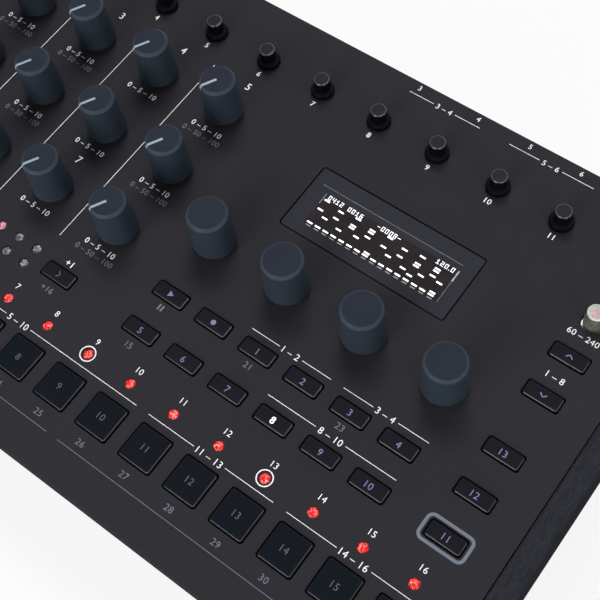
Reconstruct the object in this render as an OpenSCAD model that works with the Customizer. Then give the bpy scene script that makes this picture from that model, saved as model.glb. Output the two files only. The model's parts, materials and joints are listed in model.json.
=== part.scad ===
// Desktop drum machine: a wedge-shaped case with step pads, keys, knobs, lamps and a display.
// All sizes are in millimetres. X runs along the width, Y towards the rear, Z up.
// The origin is on the table, in the middle of the footprint.
// Places on the top panel are given from its front edge, measured along its slope.

/* [Case] */
// Overall width, across both cheeks
body_w = 408; // [396:1:440]
// Overall depth, from the front edge to the socket nuts
body_d = 181; // [179:1:200]
// Height of the panel's front edge above the table
front_h = 42.2; // [40:0.1:60]
// Slope of the top panel, in degrees
slope = 9; // [6:0.5:12]
// Lean of the front face from upright, in degrees
front_lean = 14; // [12:0.5:18]
// Thickness of the folded top sheet
sheet_t = 1.2; // [0.8:0.1:1.6]
// Outer radius of the fold along the front edge
bend_r = 1.2; // [0.8:0.1:2]
// Thickness of the bottom case's sheet
case_t = 0.8; // [0.6:0.1:1.2]
// Thickness of the rear panel
rear_t = 1.2; // [0.8:0.1:1.6]
// Thickness of a side cheek
cheek_t = 6.5; // [4:0.5:12]
// Dark gap between the top panel and a cheek
cheek_gap = 1; // [0.9:0.1:1.3]
// Thickness of the rim that narrows that gap at the top of a cheek
cheek_rim_t = 0.4; // [0.2:0.1:0.5]
// Height of that rim
cheek_rim_h = 1.6; // [1:0.1:1.7]
// Depth of the inward flanges on the base
flange_d = 10; // [8:1:14]
// Height of a rubber foot
foot_h = 3.5; // [2.5:0.5:6]
// Diameter of a rubber foot
foot_d = 14; // [8:1:18]
// Outer feet, distance of their centres from the panel's sides
foot_inset = 16; // [14:1:30]
// Front feet, distance of their centres from the front edge
foot_front_inset = 22; // [18:1:40]
// Rear feet, distance of their centres from the rear panel
foot_rear_inset = 14; // [12:1:30]
// Outer case screws, distance from the panel's sides
screw_inset = 25; // [20:1:40]

/* [Panel layout] */
// Width of the panel, in key pitches; one key pitch is the distance between step pads
pitches_across_ratio = 22.5862; // [22.3:0.0001:24]
// Last pad's centre to the panel's right edge, in key pitches
right_margin_ratio = 1; // [0.8:0.01:1.15]
// Pad row, from the panel's front edge, as a share of the case's depth
pad_row_ratio = 0.14033; // [0.13:0.00001:0.15]
// Step lamp row, as a share of the case's depth
lamp_row_ratio = 0.21381; // [0.2:0.00001:0.22]
// Lower key row, as a share of the case's depth
lower_row_ratio = 0.29945; // [0.29:0.00001:0.31]
// Distance between the key rows, as a share of the case's depth
row_pitch_ratio = 0.08287; // [0.07:0.00001:0.083]
// Lower page key, as a share of the case's depth
page_row_ratio = 0.58453; // [0.57:0.00001:0.6]
// Front row of voice knobs, as a share of the case's depth
knob_row_ratio = 0.43094; // [0.42:0.00001:0.44]
// Distance between the rows of voice knobs, as a share of the case's depth
knob_row_pitch_ratio = 0.15414; // [0.14:0.00001:0.156]
// Distance between the columns of knobs and encoders, in key pitches
knob_pitch_ratio = 1.6782; // [1.5:0.0001:1.7]
// Last encoder to the side column of keys, in key pitches
column_gap_ratio = 1.4598; // [1.3:0.0001:1.5]
// Encoder row, as a share of the case's depth
encoder_row_ratio = 0.50829; // [0.5:0.00001:0.52]
// Row of level knobs, as a share of the case's depth
level_row_ratio = 0.88094; // [0.86:0.00001:0.89]
// Level knobs, offset to the left of the first voice and last encoder columns, in key pitches
level_offset_ratio = 0.0253; // [0:0.0001:0.05]
// Tempo knob, as a share of the case's depth
tempo_row_ratio = 0.74475; // [0.73:0.00001:0.76]
// Centre of the display, as a share of the case's depth
display_row_ratio = 0.67624; // [0.67:0.00001:0.69]
// Arrow keys, distance of each from the middle of the lamp grid, in key pitches
arrow_span_ratio = 1.4368; // [1.35:0.0001:1.5]
// Distance between the columns of the lamp grid, in key pitches
grid_pitch_ratio = 0.4598; // [0.35:0.0001:0.5]
// Distance between the two rows of the lamp grid, as a share of the case's depth
grid_row_ratio = 0.03425; // [0.03:0.00001:0.038]
// Send knobs, distance to the left of the first voice column, in key pitches
send_gap_ratio = 2.2989; // [2.1:0.0001:2.6]
// Volume knob, distance to the left of the first voice column, in key pitches
volume_gap_ratio = 4.8276; // [4.6:0.0001:5]
// Distance between audio sockets, in key pitches
jack_pitch_ratio = 1.20115; // [1.1:0.00001:1.21]

/* [Keys and lamps] */
// Side of a step pad's square hole
pad_hole = 12.7; // [11.5:0.1:13]
// Depth of a small key's hole
key_hole_d = 6; // [5:0.1:6.4]
// Corner radius of the key holes
hole_r = 1; // [0.6:0.1:1.6]
// Gap between a cap and its hole, all round
cap_gap = 0.5; // [0.3:0.05:0.6]
// Height of a cap above the panel
cap_rise = 0.7; // [0.4:0.1:1.2]
// Travel of a pad or key
key_travel = 0.8; // [0.4:0.1:1]
// Reach of a cap's retaining flange beyond the edge of its hole
cap_flange = 0.4; // [0.2:0.1:0.9]
// Thickness of that flange
cap_flange_t = 1; // [0.8:0.1:1.4]
// Diameter of a key's plunger
plunger_d = 3; // [2.4:0.1:3.4]
// Diameter of a lamp
lamp_d = 2.9; // [2:0.1:3.2]
// Diameter of a lamp's hole
lamp_hole = 3.4; // [3.3:0.1:3.8]
// Height of a lamp's dome above the panel
lamp_rise = 0.4; // [0.1:0.1:0.8]

/* [Knobs] */
// Top diameter of a voice knob
knob_top_d = 12.2; // [10:0.1:14]
// Base diameter of a voice knob
knob_base_d = 13.8; // [11:0.1:15]
// Height of a voice knob above the panel
knob_h = 18.9; // [14:0.1:20]
// Top diameter of an encoder knob
encoder_top_d = 13.3; // [12:0.1:15]
// Base diameter of an encoder knob
encoder_base_d = 14.7; // [13:0.1:17]
// Height of an encoder knob above the panel
encoder_h = 19.1; // [15:0.1:20]
// Top diameter of the volume knob
volume_top_d = 20; // [16:0.5:24]
// Base diameter of the volume knob
volume_base_d = 22; // [18:0.5:26]
// Height of the volume knob above the panel
volume_h = 16; // [12:0.5:18]
// Rounding of a knob's top edge
knob_edge = 0.7; // [0.3:0.1:1.2]
// Height of a knob's lower edge above the panel
knob_lift = 2.5; // [1.5:0.1:3.5]
// Gap between the hub under a knob and the panel
knob_gap = 0.6; // [0.3:0.1:0.9]
// Diameter of that hub
knob_hub_d = 9.6; // [8.5:0.1:10.5]
// Diameter of a level knob
level_d = 5.6; // [5:0.1:7]
// Diameter of a level knob's skirt
level_skirt_d = 8.2; // [8:0.1:9.5]
// Height of a level knob above the panel
level_h = 7.3; // [4:0.1:9]
// Diameter of the clear tempo knob
tempo_d = 5.8; // [5:0.1:8]
// Reach of its skirt beyond its post
tempo_skirt = 0.4; // [0.3:0.1:1]
// Width of a pointer line
pointer_w = 1; // [0.6:0.1:1.4]
// Height of a pointer line above the knob's top
pointer_rise = 0.15; // [0.1:0.05:0.3]
// Angle of a pointer at the lower end stop, from the panel's right
pointer_angle = 240; // [225:1:250]
// Diameter of a potentiometer's shaft
shaft_d = 6; // [4:0.1:6]
// Running clearance round a shaft
shaft_clear = 0.06; // [0.02:0.01:0.09]
// Outer diameter of a potentiometer's bushing
bushing_d = 7; // [6.8:0.1:7.2]
// Panel hole for a bushing
bushing_hole = 7.6; // [7.5:0.1:8]

/* [Display] */
// Width of the display window
window_w = 63; // [56:0.5:64]
// Depth of the display window
window_d = 25.4; // [22:0.2:26]
// Thickness of the display window
window_t = 2; // [1.5:0.1:3]
// Gap between the window and its opening
window_gap = 0.25; // [0.1:0.05:0.4]
// Corner radius of the window
window_r = 1; // [0.5:0.1:2]
// Width of the display module's glass
glass_w = 53; // [46:0.5:54]
// Depth of the display module's glass
glass_d = 14.8; // [12:0.2:16]

/* [Inside] */
// Top face of the control board, below the panel's surface
board_drop = 13; // [12:0.5:15]
// Thickness of a circuit board
board_t = 1.6; // [1.2:0.1:2]
// Edge of the control board to the panel's edges
board_margin = 6.5; // [5:0.5:8]
// Height of a potentiometer's body
pot_h = 6.8; // [5:0.1:7.5]
// Width of a potentiometer's body
pot_w = 10; // [9:0.5:11]
// Height of a key switch
switch_h = 4; // [3.5:0.1:5]
// Width of a key switch
switch_w = 6; // [5:0.5:7]
// Diameter of the studs that carry the control board
stud_d = 6; // [4:0.5:6]
// Height of the main board's top face above the table
main_board_z = 26.5; // [18:0.5:28]
// Depth of the main board
main_board_d = 54; // [40:1:60]

/* [Sockets] */
// Bore of an audio socket
jack_bore = 6.5; // [6.4:0.1:6.6]
// Depth of an audio socket's bore
jack_depth = 24; // [20:1:28]
// Height of a socket's nut behind the rear panel
nut_t = 2.5; // [2:0.1:4]
// Diameter of a socket's bushing
jack_bushing_d = 9.8; // [9:0.1:10.4]
// Bore of a sync socket
sync_bore = 3.6; // [3.5:0.1:3.7]
// Travel of the power button
power_travel = 2; // [1:0.1:2.2]
// Diameter of the power button
power_d = 8; // [6:0.5:9]

/* [Hidden] */
$fn = 48;
voices = ["bass", "snare", "tom", "hat", "sample"];
rows = ["front", "middle", "rear"];
level_count = 11;
pad_groups = [[1, 4], [5, 10], [11, 13], [14, 16]];
function knob_name(column, row) = str(voices[column], "_knob_", rows[row]);
function pads_name(group) = str("pads_", group[0], "_to_", group[1]);

// Case, worked out from the driving sizes
panel_w = body_w - 2 * (cheek_t + cheek_gap);
front_y = -body_d / 2 - bend_r * (cos(slope) + sin(slope) - 1);
rear_y = body_d / 2 - nut_t;
panel_len = (rear_y - front_y) / cos(slope);
bend_at = at_panel(bend_r, -bend_r);
bend_end = 180 + front_lean - slope;
base_top = foot_h + case_t;
fit_gap = 0.2;
seat_gap = 0.3;
wall_drop = 2;
cheek_edge_r = 1.5;
lip_h = 9;
board_edge_x = panel_w / 2 - board_margin;
board_rear = panel_len - 8.7;
board_front = 8;

// Distances along the width follow the panel's width, rows follow the case's depth
key_pitch = panel_w / pitches_across_ratio;
right_margin = right_margin_ratio * key_pitch;
knob_pitch = knob_pitch_ratio * key_pitch;
column_gap = column_gap_ratio * key_pitch;
arrow_span = arrow_span_ratio * key_pitch;
grid_pitch_x = grid_pitch_ratio * key_pitch;
send_gap = send_gap_ratio * key_pitch;
volume_gap = volume_gap_ratio * key_pitch;
level_offset = level_offset_ratio * key_pitch;
jack_pitch = jack_pitch_ratio * key_pitch;
pad_y = pad_row_ratio * body_d;
lamp_y = lamp_row_ratio * body_d;
lower_y = lower_row_ratio * body_d;
row_pitch = row_pitch_ratio * body_d;
page_y = page_row_ratio * body_d;
knob_y = knob_row_ratio * body_d;
knob_row_pitch = knob_row_pitch_ratio * body_d;
encoder_y = encoder_row_ratio * body_d;
level_y = level_row_ratio * body_d;
tempo_y = tempo_row_ratio * body_d;
display_y = display_row_ratio * body_d;
grid_pitch_y = grid_row_ratio * body_d;

// Keys
pad_cap = pad_hole - 2 * cap_gap;
key_cap_d = key_hole_d - 2 * cap_gap;
flange_top = -sheet_t - seat_gap;
plunger_grip = 0.8;
plunger_clear = 0.08;
switch_top = -board_drop + switch_h;
plunger_tip = switch_top - plunger_grip;

// Potentiometers
pot_top = -board_drop + pot_h;
bushing_top = -sheet_t - seat_gap;
shaft_tip = -board_drop + 3.3;
bore_floor = shaft_tip - seat_gap;

// Rear sockets, from the right as seen from the front
jack_w = 15;
jack_l = 22;
jack_z = main_board_z + jack_w / 2;
jack_nut_d = jack_bushing_d + 5;
sync_w = 9;
sync_l = 14;
sync_z = main_board_z + sync_w / 2;
sync_bushing_d = sync_bore + 3;
sync_out = 0.5;
din_w = 20;
din_l = 14;
din_z = main_board_z + din_w / 2;
din_r = 7.5;
usb_l = 15;
usb_b = [8.4, 7.8];
usb_b_shell = 0.8;
usb_b_z = main_board_z + usb_b[1] / 2 + usb_b_shell;
usb_a = [13.2, 5.7];
usb_a_shell = 0.5;
usb_a_z = main_board_z + usb_a[1] / 2 + usb_a_shell;
usb_gap = 0.3;
dc_w = 11;
dc_l = 12;
dc_z = main_board_z + dc_w / 2;
dc_r = 3.2;
dc_bushing_r = dc_r + 1.2;
power_w = 12;
power_l = 16;
power_z = main_board_z + power_w / 2;

// x of a pad's centre, also between pads; the keys stand midway between pads
function pad_x(n) = panel_w / 2 - right_margin - (16 - n) * key_pitch;
function key_x(k) = pad_x(9.5 + k);
// x of a knob column: 0 to 4 hold voice knobs, 5 to 8 encoders
function column_x(k) = pad_x(16) - column_gap - (8 - k) * knob_pitch;
function level_x(i) = column_x(8) - level_offset - (level_count - i) * 8 * knob_pitch / (level_count - 1);
function knob_row_y(r) = knob_y + r * knob_row_pitch;
grid_x = pad_x(6.05);
grid_y = lower_y;
upper_y = lower_y + row_pitch;
mute_y = lower_y + 2 * row_pitch;
display_x = (column_x(6) + column_x(7)) / 2;
send_x = column_x(0) - send_gap;
volume_x = column_x(0) - volume_gap;
volume_y = (knob_row_y(1) + knob_row_y(2)) / 2;
upper_places = [for (k = [0 : 5]) [key_x(k), upper_y]];
lower_places = [for (k = [0 : 5]) [key_x(k), lower_y]];
side_places = [for (y = [lower_y, upper_y, mute_y, page_y, page_y + row_pitch]) [pad_x(16), y]];
arrow_places = [for (s = [-1, 1]) [grid_x + s * arrow_span, lower_y]];
key_places = concat(upper_places, lower_places, side_places, arrow_places);
pad_places = [for (n = [1 : 16]) [pad_x(n), pad_y]];
step_lamp_places = [for (n = [1 : 16]) [pad_x(n), lamp_y]];
grid_lamp_places = [
    for (i = [-1.5 : 1.5], j = [-0.5, 0.5]) [grid_x + i * grid_pitch_x, grid_y + j * grid_pitch_y]
];
lamp_places = concat(step_lamp_places, grid_lamp_places);
voice_places = [for (c = [0 : 4], r = [0 : 2]) [column_x(c), knob_row_y(r)]];
encoder_places = [for (k = [5 : 8]) [column_x(k), encoder_y]];
level_places = [for (i = [1 : level_count]) [level_x(i), level_y]];
send_places = [for (r = [1, 2]) [send_x, knob_row_y(r)]];
pot_places = concat(voice_places, encoder_places, level_places, send_places,
                    [[volume_x, volume_y], [pad_x(16), tempo_y]]);
stud_edge = 5;
stud_ys = [board_front + stud_edge, lamp_y + 0.45 * (lower_y - lamp_y), (knob_row_y(2) + level_y) / 2];
stud_places = [for (x = [-2 : 2], y = stud_ys) [x * (board_edge_x - stud_edge) / 2, y]];
jack_places = concat([for (i = [0 : 3]) pad_x(7.5) - i * jack_pitch],
                     [for (i = [0, 1]) pad_x(2.5) - i * jack_pitch], [pad_x(-0.1)]);
sync_places = [pad_x(8.75), pad_x(9.5)];
din_places = [pad_x(10.75), pad_x(12.05)];
usb_b_x = pad_x(13.2);
usb_a_x = pad_x(14.3);
dc_x = volume_x;
power_x = volume_x - key_pitch;
foot_ys = [front_y + foot_front_inset, rear_y - foot_rear_inset];
foot_places = [for (x = [-1, 0, 1], y = foot_ys) [x * (panel_w / 2 - foot_inset), y]];
screw_xs = [for (i = [-1.5 : 1.5]) i * (panel_w - 2 * screw_inset) / 3];
screw_r = 1.45;
screw_head_r = 2.75;
screw_head_t = 1.6;
screw_grip = 0.05;
screw_clear = 0.25;
screw_run = 2;
rear_screw_z = under_z(rear_y - rear_t) - lip_h / 2;
flange_screw_ys = [face_y(base_top) + flange_d / 2, rear_y - rear_t - flange_d / 2];
main_board_left = power_x - power_w / 2 - 4;
main_board_right = usb_a_x + usb_a[0] / 2 + 5;
main_board_w = main_board_right - main_board_left;
main_board_x = (main_board_left + main_board_right) / 2;
main_board_y = rear_y - rear_t - sheet_t - 2 - main_board_d;
standoff_ys = [main_board_y + stud_d, rear_y - rear_t - flange_d - stud_d / 2 - seat_gap];
standoff_places = [
    for (x = [-2 : 2], y = standoff_ys) [main_board_x + x * (main_board_w - 2 * stud_d) / 4, y]
];

// ---------------------------------------------------------------- shared shapes and places

function arc(cx, cy, r, a, b, n = 5) =
    [for (i = [0 : n]) let (t = a + (b - a) * i / n) [cx + r * cos(t), cy + r * sin(t)]];

module rounded_rectangle(w, d, r) {
    square([w - 2 * r, d], center = true);
    square([w, d - 2 * r], center = true);
    for (x = [r - w / 2, w / 2 - r], y = [r - d / 2, d / 2 - r])
        translate([x, y])
            circle(r);
}

// Turns a place on the panel, y along the slope and w above it, into [Y, Z]
function at_panel(y, w) =
    [front_y + y * cos(slope) - w * sin(slope), front_h + y * sin(slope) + w * cos(slope)];
function top_z(y) = front_h + (y - front_y) * tan(slope);
function under_z(y) = top_z(y) - sheet_t / cos(slope);
// Y of the front face at height z; the face leans back under the panel
function face_y(z) = bend_at[0] - bend_r / cos(front_lean) + (bend_at[1] - z) * tan(front_lean);

module on_panel(place = [0, 0]) {
    translate([0, front_y, front_h])
        rotate([slope, 0, 0])
            translate([place[0], place[1], 0])
                children();
}

// Extrudes a [Y, Z] outline along X, centred
module across(width) {
    translate([-width / 2, 0, 0])
        rotate([90, 0, 90])
            linear_extrude(width)
                children();
}

// Local +Z points out of the rear panel's outer face
module at_rear(x, z) {
    translate([x, rear_y, z])
        rotate([-90, 0, 0])
            children();
}

module box(size, z0) {
    translate([-size[0] / 2, -size[1] / 2, z0])
        cube(size);
}

// ---------------------------------------------------------------- case

module fold_outline() {
    flange_y = face_y(base_top);
    wall = sheet_t / cos(front_lean);
    corner_y = (face_y(0) + wall - under_z(0) * tan(front_lean)) / (1 + tan(slope) * tan(front_lean));
    lip_rear = rear_y - rear_t;
    lip_front = lip_rear - sheet_t;
    lip_z = under_z(lip_rear) - lip_h;
    bend = arc(bend_r, -bend_r, bend_r, 90, bend_end);
    polygon(concat(
        [[rear_y, top_z(rear_y)]],
        [for (p = bend) at_panel(p[0], p[1])],
        [[flange_y, base_top],
         [flange_y + flange_d, base_top],
         [flange_y + flange_d, base_top + sheet_t],
         [face_y(base_top + sheet_t) + wall, base_top + sheet_t],
         [corner_y, under_z(corner_y)],
         [lip_front, under_z(lip_front)],
         [lip_front, lip_z],
         [lip_rear, lip_z],
         [lip_rear, under_z(lip_rear)],
         [rear_y, under_z(rear_y)]]
    ));
}

module panel_cutouts() {
    for (p = pad_places)
        translate(p)
            rounded_rectangle(pad_hole, pad_hole, hole_r);
    for (p = key_places)
        translate(p)
            rounded_rectangle(pad_hole, key_hole_d, hole_r);
    for (p = lamp_places)
        translate(p)
            circle(d = lamp_hole);
    for (p = pot_places)
        translate(p)
            circle(d = bushing_hole);
    translate([display_x, display_y])
        rounded_rectangle(window_w + 2 * window_gap, window_d + 2 * window_gap, window_r + window_gap);
}

module flange_screw_holes(r) {
    for (x = screw_xs)
        for (y = flange_screw_ys)
            translate([x, y, foot_h - 1])
                cylinder(r = r, h = 6);
}

module rear_screw_holes(r) {
    for (x = screw_xs)
        at_rear(x, rear_screw_z)
            translate([0, 0, -6])
                cylinder(r = r, h = 8);
}

module top_panel() {
    color("#323135") {
        difference() {
            across(panel_w)
                fold_outline();
            on_panel()
                translate([0, 0, -sheet_t - 0.5])
                    linear_extrude(sheet_t + 1)
                        panel_cutouts();
            flange_screw_holes(screw_r + screw_grip);
            rear_screw_holes(screw_r + screw_grip);
        }
        for (p = stud_places)
            on_panel(p)
                translate([0, 0, -board_drop])
                    cylinder(d = stud_d, h = board_drop - sheet_t / 2);
    }
}

module bottom_case() {
    wall_outline = [
        [face_y(foot_h) + seat_gap, foot_h],
        [face_y(front_h - wall_drop) + seat_gap, front_h - wall_drop],
        [rear_y - fit_gap, top_z(rear_y) - wall_drop],
        [rear_y - fit_gap, foot_h]
    ];
    color("#232326") {
        difference() {
            across(panel_w + 2 * cheek_gap)
                polygon([
                    [face_y(foot_h) + seat_gap, foot_h],
                    [face_y(base_top) + seat_gap, base_top],
                    [rear_y - fit_gap, base_top],
                    [rear_y - fit_gap, foot_h]
                ]);
            flange_screw_holes(screw_r + screw_clear);
        }
        for (s = [-1, 1])
            translate([s * (panel_w / 2 + cheek_gap - case_t / 2), 0, 0])
                across(case_t)
                    polygon(wall_outline);
        for (p = standoff_places)
            translate([p[0], p[1], base_top - case_t / 2])
                cylinder(d = stud_d, h = main_board_z - board_t - base_top + case_t / 2);
    }
}

module usb_hole(x, z, opening, shell) {
    rim = 2 * (shell + usb_gap);
    at_rear(x, z)
        box([opening[0] + rim, opening[1] + rim, rear_t + 2], -rear_t - 1);
}

module rear_panel() {
    inner = rear_y - rear_t;
    color("#2a2a2d")
        difference() {
            across(panel_w - 2 * fit_gap)
                polygon([
                    [rear_y, base_top],
                    [rear_y, under_z(rear_y)],
                    [inner, under_z(inner)],
                    [inner, base_top + rear_t],
                    [inner - flange_d, base_top + rear_t],
                    [inner - flange_d, base_top]
                ]);
            for (x = jack_places)
                at_rear(x, jack_z)
                    translate([0, 0, -rear_t - 1])
                        cylinder(d = jack_bushing_d + 2 * fit_gap, h = rear_t + 2);
            for (x = sync_places)
                at_rear(x, sync_z)
                    translate([0, 0, -rear_t - 1])
                        cylinder(d = sync_bushing_d + 2 * fit_gap, h = rear_t + 2);
            for (x = din_places)
                at_rear(x, din_z)
                    translate([0, 0, -rear_t - 1])
                        cylinder(r = din_r + fit_gap, h = rear_t + 2);
            usb_hole(usb_b_x, usb_b_z, usb_b, usb_b_shell);
            usb_hole(usb_a_x, usb_a_z, usb_a, usb_a_shell);
            at_rear(dc_x, dc_z)
                translate([0, 0, -rear_t - 1])
                    cylinder(r = dc_bushing_r + fit_gap, h = rear_t + 2);
            at_rear(power_x, power_z)
                translate([0, 0, -rear_t - 1])
                    cylinder(d = power_d + 2 * seat_gap, h = rear_t + 2);
            flange_screw_holes(screw_r + screw_grip);
            rear_screw_holes(screw_r + screw_clear);
        }
}

// Side view of a cheek: front corner rounded like the fold, rear corner rounded as well
module cheek_outline() {
    bend = arc(bend_r, -bend_r, bend_r, 90, bend_end);
    corner_y = rear_y - cheek_edge_r;
    corner_z = top_z(corner_y) - cheek_edge_r / cos(slope);
    polygon(concat(
        [for (p = bend) at_panel(p[0], p[1])],
        [[face_y(foot_h), foot_h], [rear_y, foot_h]],
        arc(corner_y, corner_z, cheek_edge_r, 0, 90 + slope)
    ));
}

// Everything below the narrow rim along the top of a cheek's inner face
module below_cheek_rim() {
    reach = 10;
    polygon([
        at_panel(-reach, -cheek_rim_h),
        at_panel(panel_len + reach, -cheek_rim_h),
        [rear_y + reach, 0],
        [front_y - reach, 0]
    ]);
}

module cheek(side) {
    full_t = cheek_t + cheek_rim_t;
    cut_t = 2 * cheek_rim_t;
    color("#26262a")
        difference() {
            translate([side * (body_w - full_t) / 2, 0, 0])
                across(full_t)
                    cheek_outline();
            translate([side * (body_w / 2 - cheek_t - cut_t / 2), 0, 0])
                across(cut_t)
                    below_cheek_rim();
        }
}

module left_cheek() {
    cheek(-1);
}

module right_cheek() {
    cheek(1);
}

module rubber_feet() {
    color("#151515")
        for (p = foot_places)
            translate([p[0], p[1], 0])
                cylinder(d1 = foot_d - 2, d2 = foot_d, h = foot_h);
}

module case_screws() {
    shank = screw_head_t + case_t + max(sheet_t, rear_t) + screw_run;
    color("#3a3a3e") {
        for (x = screw_xs)
            for (y = flange_screw_ys)
                translate([x, y, foot_h - screw_head_t]) {
                    cylinder(r = screw_head_r, h = screw_head_t);
                    cylinder(r = screw_r, h = shank);
                }
        for (x = screw_xs)
            at_rear(x, rear_screw_z) {
                cylinder(r = screw_head_r, h = screw_head_t);
                translate([0, 0, -rear_t - sheet_t - screw_run])
                    cylinder(r = screw_r, h = rear_t + sheet_t + screw_run + 1);
            }
    }
}

// ---------------------------------------------------------------- display

module display_window() {
    color("#20242c")
        on_panel([display_x, display_y])
            translate([0, 0, -window_t])
                linear_extrude(window_t)
                    rounded_rectangle(window_w, window_d, window_r);
}

module display_module() {
    frame_w = window_w + 3;
    frame_d = window_d + 2;
    glass_drop = 0.8;
    color("#101114")
        on_panel([display_x, display_y])
            difference() {
                box([frame_w, frame_d, board_drop - window_t], -board_drop);
                box([glass_w, glass_d, glass_drop + 1], -window_t - glass_drop);
            }
}

// ---------------------------------------------------------------- boards and what they carry

module control_board() {
    color("#1e4a34")
        on_panel()
            translate([-board_edge_x, board_front, -board_drop - board_t])
                cube([2 * board_edge_x, board_rear - board_front, board_t]);
}

module main_board() {
    color("#1e4a34")
        translate([main_board_left, main_board_y, main_board_z - board_t])
            cube([main_board_w, main_board_d, board_t]);
}

module pot_body(place) {
    on_panel(place)
        difference() {
            union() {
                box([pot_w, pot_w, pot_h], -board_drop);
                translate([0, 0, pot_top])
                    cylinder(d = bushing_d, h = bushing_top - pot_top);
            }
            translate([0, 0, bore_floor])
                cylinder(d = shaft_d + 2 * shaft_clear, h = board_drop);
        }
}

module pot_bodies() {
    color("#6f7a80")
        for (p = pot_places)
            pot_body(p);
}

module key_switch(place) {
    on_panel(place)
        difference() {
            box([switch_w, min(switch_w, key_hole_d), switch_h], -board_drop);
            translate([0, 0, plunger_tip - key_travel - seat_gap])
                cylinder(d = plunger_d + 2 * plunger_clear, h = board_drop);
        }
}

module key_switches() {
    color("#8a8d90")
        for (p = concat(pad_places, key_places))
            key_switch(p);
}

module indicator_lamp(place) {
    dome_z = lamp_rise - lamp_d / 2;
    on_panel(place) {
        translate([0, 0, -board_drop])
            cylinder(d = lamp_d, h = board_drop + dome_z);
        translate([0, 0, dome_z])
            sphere(d = lamp_d);
    }
}

module indicator_lamps() {
    color("#ff4030")
        for (p = lamp_places)
            indicator_lamp(p);
}

// ---------------------------------------------------------------- rear sockets

module audio_jack(x) {
    at_rear(x, jack_z)
        difference() {
            union() {
                box([jack_w, jack_w, jack_l], -rear_t - seat_gap - jack_l);
                translate([0, 0, -rear_t - 1])
                    cylinder(d = jack_bushing_d, h = rear_t + 1 + nut_t);
                cylinder(d = jack_nut_d, h = nut_t, $fn = 6);
            }
            translate([0, 0, nut_t - jack_depth])
                cylinder(d = jack_bore, h = jack_depth + 1);
        }
}

module audio_jacks() {
    color("#9a9da2")
        for (x = jack_places)
            audio_jack(x);
}

module sync_socket(x) {
    at_rear(x, sync_z)
        difference() {
            union() {
                box([sync_w, sync_w, sync_l], -rear_t - seat_gap - sync_l);
                translate([0, 0, -rear_t - 1])
                    cylinder(d = sync_bushing_d, h = rear_t + 1 + sync_out);
            }
            translate([0, 0, sync_out - sync_l])
                cylinder(d = sync_bore, h = sync_l + 1);
        }
}

// Round socket with five contacts on an arc and an annular groove for the plug's shell
module din_socket(x) {
    contact_circle_r = 3.6;
    contact_r = 0.8;
    groove = [5.9, 6.8];
    depth = 9;
    at_rear(x, din_z)
        difference() {
            union() {
                box([din_w, din_w, din_l], -rear_t - seat_gap - din_l);
                translate([0, 0, -rear_t - 1])
                    cylinder(r = din_r, h = rear_t + 1);
            }
            translate([0, 0, -depth])
                difference() {
                    cylinder(r = groove[1], h = depth + 1);
                    translate([0, 0, -1])
                        cylinder(r = groove[0], h = depth + 3);
                }
            for (a = [0 : 45 : 180])
                rotate([0, 0, a])
                    translate([contact_circle_r, 0, -depth])
                        cylinder(r = contact_r, h = depth + 1);
        }
}

// tongue: its width, its height and its offset below the middle of the opening
module usb_socket(x, z, opening, shell, tongue) {
    back = 4;
    at_rear(x, z) {
        difference() {
            box([opening[0] + 2 * shell, opening[1] + 2 * shell, usb_l], -usb_l);
            box([opening[0], opening[1], usb_l], back - usb_l);
        }
        translate([0, -tongue[2], 0])
            box([tongue[0], tongue[1], usb_l - back], 1 - usb_l);
    }
}

module dc_inlet() {
    bore_l = 10;
    pin_r = 1;
    at_rear(dc_x, dc_z) {
        difference() {
            union() {
                box([dc_w, dc_w, dc_l], -rear_t - seat_gap - dc_l);
                translate([0, 0, -rear_t - 1])
                    cylinder(r = dc_bushing_r, h = rear_t + 1);
            }
            translate([0, 0, -bore_l])
                cylinder(r = dc_r, h = bore_l + 1);
        }
        translate([0, 0, -bore_l - 1])
            cylinder(r = pin_r, h = bore_l);
    }
}

module power_housing() {
    at_rear(power_x, power_z)
        difference() {
            box([power_w, power_w, power_l], -rear_t - seat_gap - power_l);
            translate([0, 0, 1 - power_l - power_travel])
                cylinder(d = power_d + 2 * shaft_clear, h = power_l + power_travel);
        }
}

module data_sockets() {
    color("#2c2d30") {
        for (x = sync_places)
            sync_socket(x);
        for (x = din_places)
            din_socket(x);
        usb_socket(usb_b_x, usb_b_z, usb_b, usb_b_shell, [5.6, 3.2, 0]);
        usb_socket(usb_a_x, usb_a_z, usb_a, usb_a_shell, [11.1, 1.8, 1.2]);
        dc_inlet();
        power_housing();
    }
}

module power_button() {
    color("#1c1c1e")
        at_rear(power_x, power_z)
            translate([0, 0, 1 - power_l])
                cylinder(d = power_d, h = power_l - 1 + nut_t);
}

// ---------------------------------------------------------------- pads and keys

module key_cap(place, cap) {
    cap_r = hole_r - cap_gap / 2;
    flange = [for (side = cap) side + 2 * (cap_gap + cap_flange)];
    on_panel(place) {
        translate([0, 0, flange_top])
            linear_extrude(cap_rise - flange_top)
                rounded_rectangle(cap[0], cap[1], cap_r);
        translate([0, 0, flange_top - cap_flange_t])
            linear_extrude(cap_flange_t)
                square(flange, center = true);
        translate([0, 0, plunger_tip])
            cylinder(d = plunger_d, h = flange_top - cap_flange_t - plunger_tip);
    }
}

module pads(group) {
    color("#2b2f36")
        for (n = [group[0] : group[1]])
            key_cap(pad_places[n - 1], [pad_cap, pad_cap]);
}

module small_keys(places) {
    color("#28282c")
        for (p = places)
            key_cap(p, [pad_cap, key_cap_d]);
}

module transport_keys() {
    small_keys([for (k = [0, 1]) upper_places[k]]);
}

module upper_keys() {
    small_keys([for (k = [2 : 5]) upper_places[k]]);
}

module lower_keys() {
    small_keys(lower_places);
}

module side_keys() {
    small_keys(side_places);
}

module arrow_keys() {
    small_keys(arrow_places);
}

// ---------------------------------------------------------------- knobs

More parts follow.
